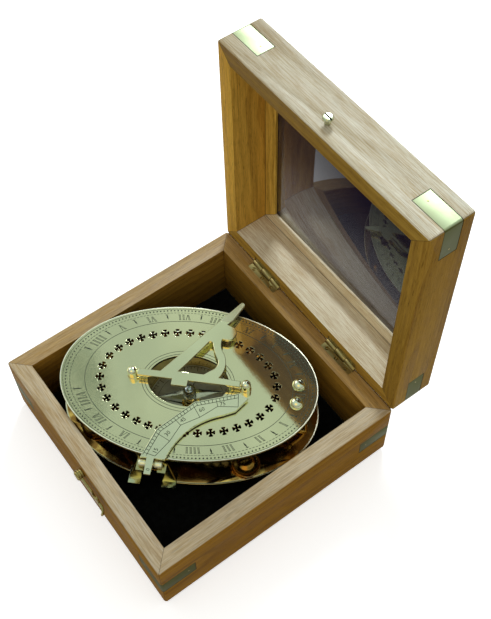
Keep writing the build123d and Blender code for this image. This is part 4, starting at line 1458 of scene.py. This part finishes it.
def arm_engraving():
    """Two lines along the outer edge with rungs between them, six steps from mark to mark; a straight line from
    mark to mark further in; a line across at each mark, and its figures before it."""
    marks = sorted(SCALE_AT)
    sweep = np.linspace(SCALE_AT[15] + 1.5, SCALE_AT[90], 120)
    shapes = []
    for depth, wide in ((RUNG_OUT, 0.32), (RUNG_IN, 0.3)):
        shapes.append(stroke(round_arm(edge_radius(sweep, depth), sweep), wide, *ARM_CUT))
    rungs = [np.linspace(SCALE_AT[a], SCALE_AT[b], 6, endpoint=False) for a, b in zip(marks, marks[1:])]
    rungs = np.concatenate([*rungs, [SCALE_AT[90]]])
    outer, inner = (round_arm(edge_radius(rungs, depth), rungs) for depth in (RUNG_OUT, RUNG_IN))
    side = left_of(inner - outer) / np.linalg.norm(inner - outer, axis=1)[:, None] * 0.15
    shapes.append(prisms(np.stack([outer - side, inner - side, inner + side, outer + side], 1), *ARM_CUT))
    chord = np.array([round_arm(CHORD_RADIUS[m], SCALE_AT[m]) for m in marks])
    for a, b in zip(chord, chord[1:]):
        shapes.append(stroke([a, b], 0.3, *ARM_CUT))
    for mark, inner in zip(marks, chord):
        degrees = SCALE_AT[mark]
        outer = round_arm(edge_radius(degrees, RUNG_IN if mark != 90 else END_IN), degrees)
        shapes.append(stroke([inner, outer], 0.28, *ARM_CUT))
        if mark < 90:
            at = degrees - FIGURES_BEFORE
            shapes.append(words(str(mark), 3.4, round_arm(FIGURES_RADIUS, at), ways(math.radians(at))))
    shapes.append(words("0", 3.1, (TONGUE_MIDDLE + 1.1, -58.9), (-1, 0.1)))
    return joined(shapes)


make("arm_engraving", seated(arm_engraving()), "arm", WAX_DARK)

# Floor, light and world

FLOOR = 4.0
FLOOR_Z = -0.0003
WHITE = (1.0, 1.0, 1.0)
BLACK = (0.0, 0.0, 0.0)


def floor_finish():
    """White to the eye and in reflections, with the box's shadow on it; darker and warm for scattered light."""
    f = Finish("studio_floor")
    to_camera = f.ray("Is Camera Ray")
    plainly = to_camera.most(f.ray("Is Glossy Ray")).most(f.ray("Is Transmission Ray"))
    white = f.mix(f.place().noise(0.01, 3.0), (0.93, 0.93, 0.93), (0.96, 0.96, 0.96))
    glow = f.mix(to_camera, BLACK, (0.96, 0.96, 0.96))
    bright = f.surface(Base_Color=white, Roughness=0.9, Emission_Color=glow, Emission_Strength=0.55)
    warm = f.surface(Base_Color=(0.42, 0.33, 0.20), Roughness=0.9)
    return f.done(Val(f, f.add("ShaderNodeMixShader", {}, {0: plainly, 1: warm, 2: bright}).outputs[0]))


floor_mesh = bpy.data.meshes.new("studio_floor")
floor_corners = [(x * FLOOR, y * FLOOR, FLOOR_Z) for x, y in ((-1, -1), (1, -1), (1, 1), (-1, 1))]
floor_mesh.from_pydata(floor_corners, [], [(0, 1, 2, 3)])
floor_mesh.materials.append(floor_finish())
floor_piece = placed("studio_floor", floor_mesh)


def room():
    """White straight ahead, and a soft room for light and for what the metal mirrors: a clouded ceiling, a warm
    wall, a bright opening at the left, and a torn dark patch that the dial's left end meets."""
    world = bpy.data.worlds.new("soft_room")
    f = Finish(world=world)
    way = Val(f, f.add("ShaderNodeTexCoord").outputs["Generated"])
    x, y, z = way.parts()

    def toward(direction):
        """The cosine of the angle from a direction."""
        size = math.sqrt(sum(c * c for c in direction))
        a, b, c = (d / size for d in direction)
        return x * a + y * b + z * c

    soft = f.mix(z.between(-0.2, 0.95), (0.34, 0.24, 0.11), (0.62, 0.66, 0.68))
    cloud = way.noise(9.0, 2.0, 0.5).between(0.35, 0.65)
    overhead = f.mix(cloud, (0.42, 0.53, 0.50), (0.56, 0.68, 0.62))
    mirror = f.mix(z.between(0.0, 0.85), (0.30, 0.24, 0.15), overhead)
    mirror = f.mix(toward((0.25, -0.44, 0.86)).between(0.90, 0.97), mirror, (1.1, 0.86, 0.42))
    mirror = f.mix(toward((-0.82, -0.15, 0.53)).between(0.93, 0.985), mirror, (1.9, 1.85, 1.6))
    torn = way.noise(170.0, 4.0, 0.7)
    dark_end = (toward((-0.492, 0.125, 0.862)) + (torn - 0.5) * 0.0022).between(0.9983, 0.9990)
    shreds = f.mix(torn.between(0.48, 0.60), (0.05, 0.11, 0.09), (0.80, 0.92, 0.84))
    mirror = f.mix(dark_end * 0.9, mirror, shreds)
    seen = f.mix(f.ray("Is Glossy Ray"), soft, mirror)
    seen = f.mix(f.ray("Is Camera Ray").most(f.ray("Is Transmission Ray")), seen, WHITE)
    light = f.add("ShaderNodeBackground", {}, {"Color": seen, "Strength": 1.0})
    f.done(Val(f, light.outputs[0]), "ShaderNodeOutputWorld")
    bpy.context.scene.world = world


room()

LAMPS_LOOK_AT = Vector((0, 0, 0.06))


def lamp(name, at, size, power, colour, glossy=True):
    """A square soft lamp that looks at the middle of the box."""
    data = bpy.data.lights.new(name, "AREA")
    data.size = size
    data.energy = power
    data.color = colour
    piece = placed(name, data)
    piece.location = at
    piece.rotation_euler = (Vector(at) - LAMPS_LOOK_AT).to_track_quat("Z", "Y").to_euler()
    piece.visible_glossy = glossy


lamp("window_light", (-0.54, 0.63, 0.79), 0.28, 6.5, (0.88, 0.96, 1.0))
lamp("warm_fill", (0.75, -0.75, 0.55), 0.7, 1.3, (1.0, 0.82, 0.55), glossy=False)

bpy.context.scene.view_settings.view_transform = "Standard"
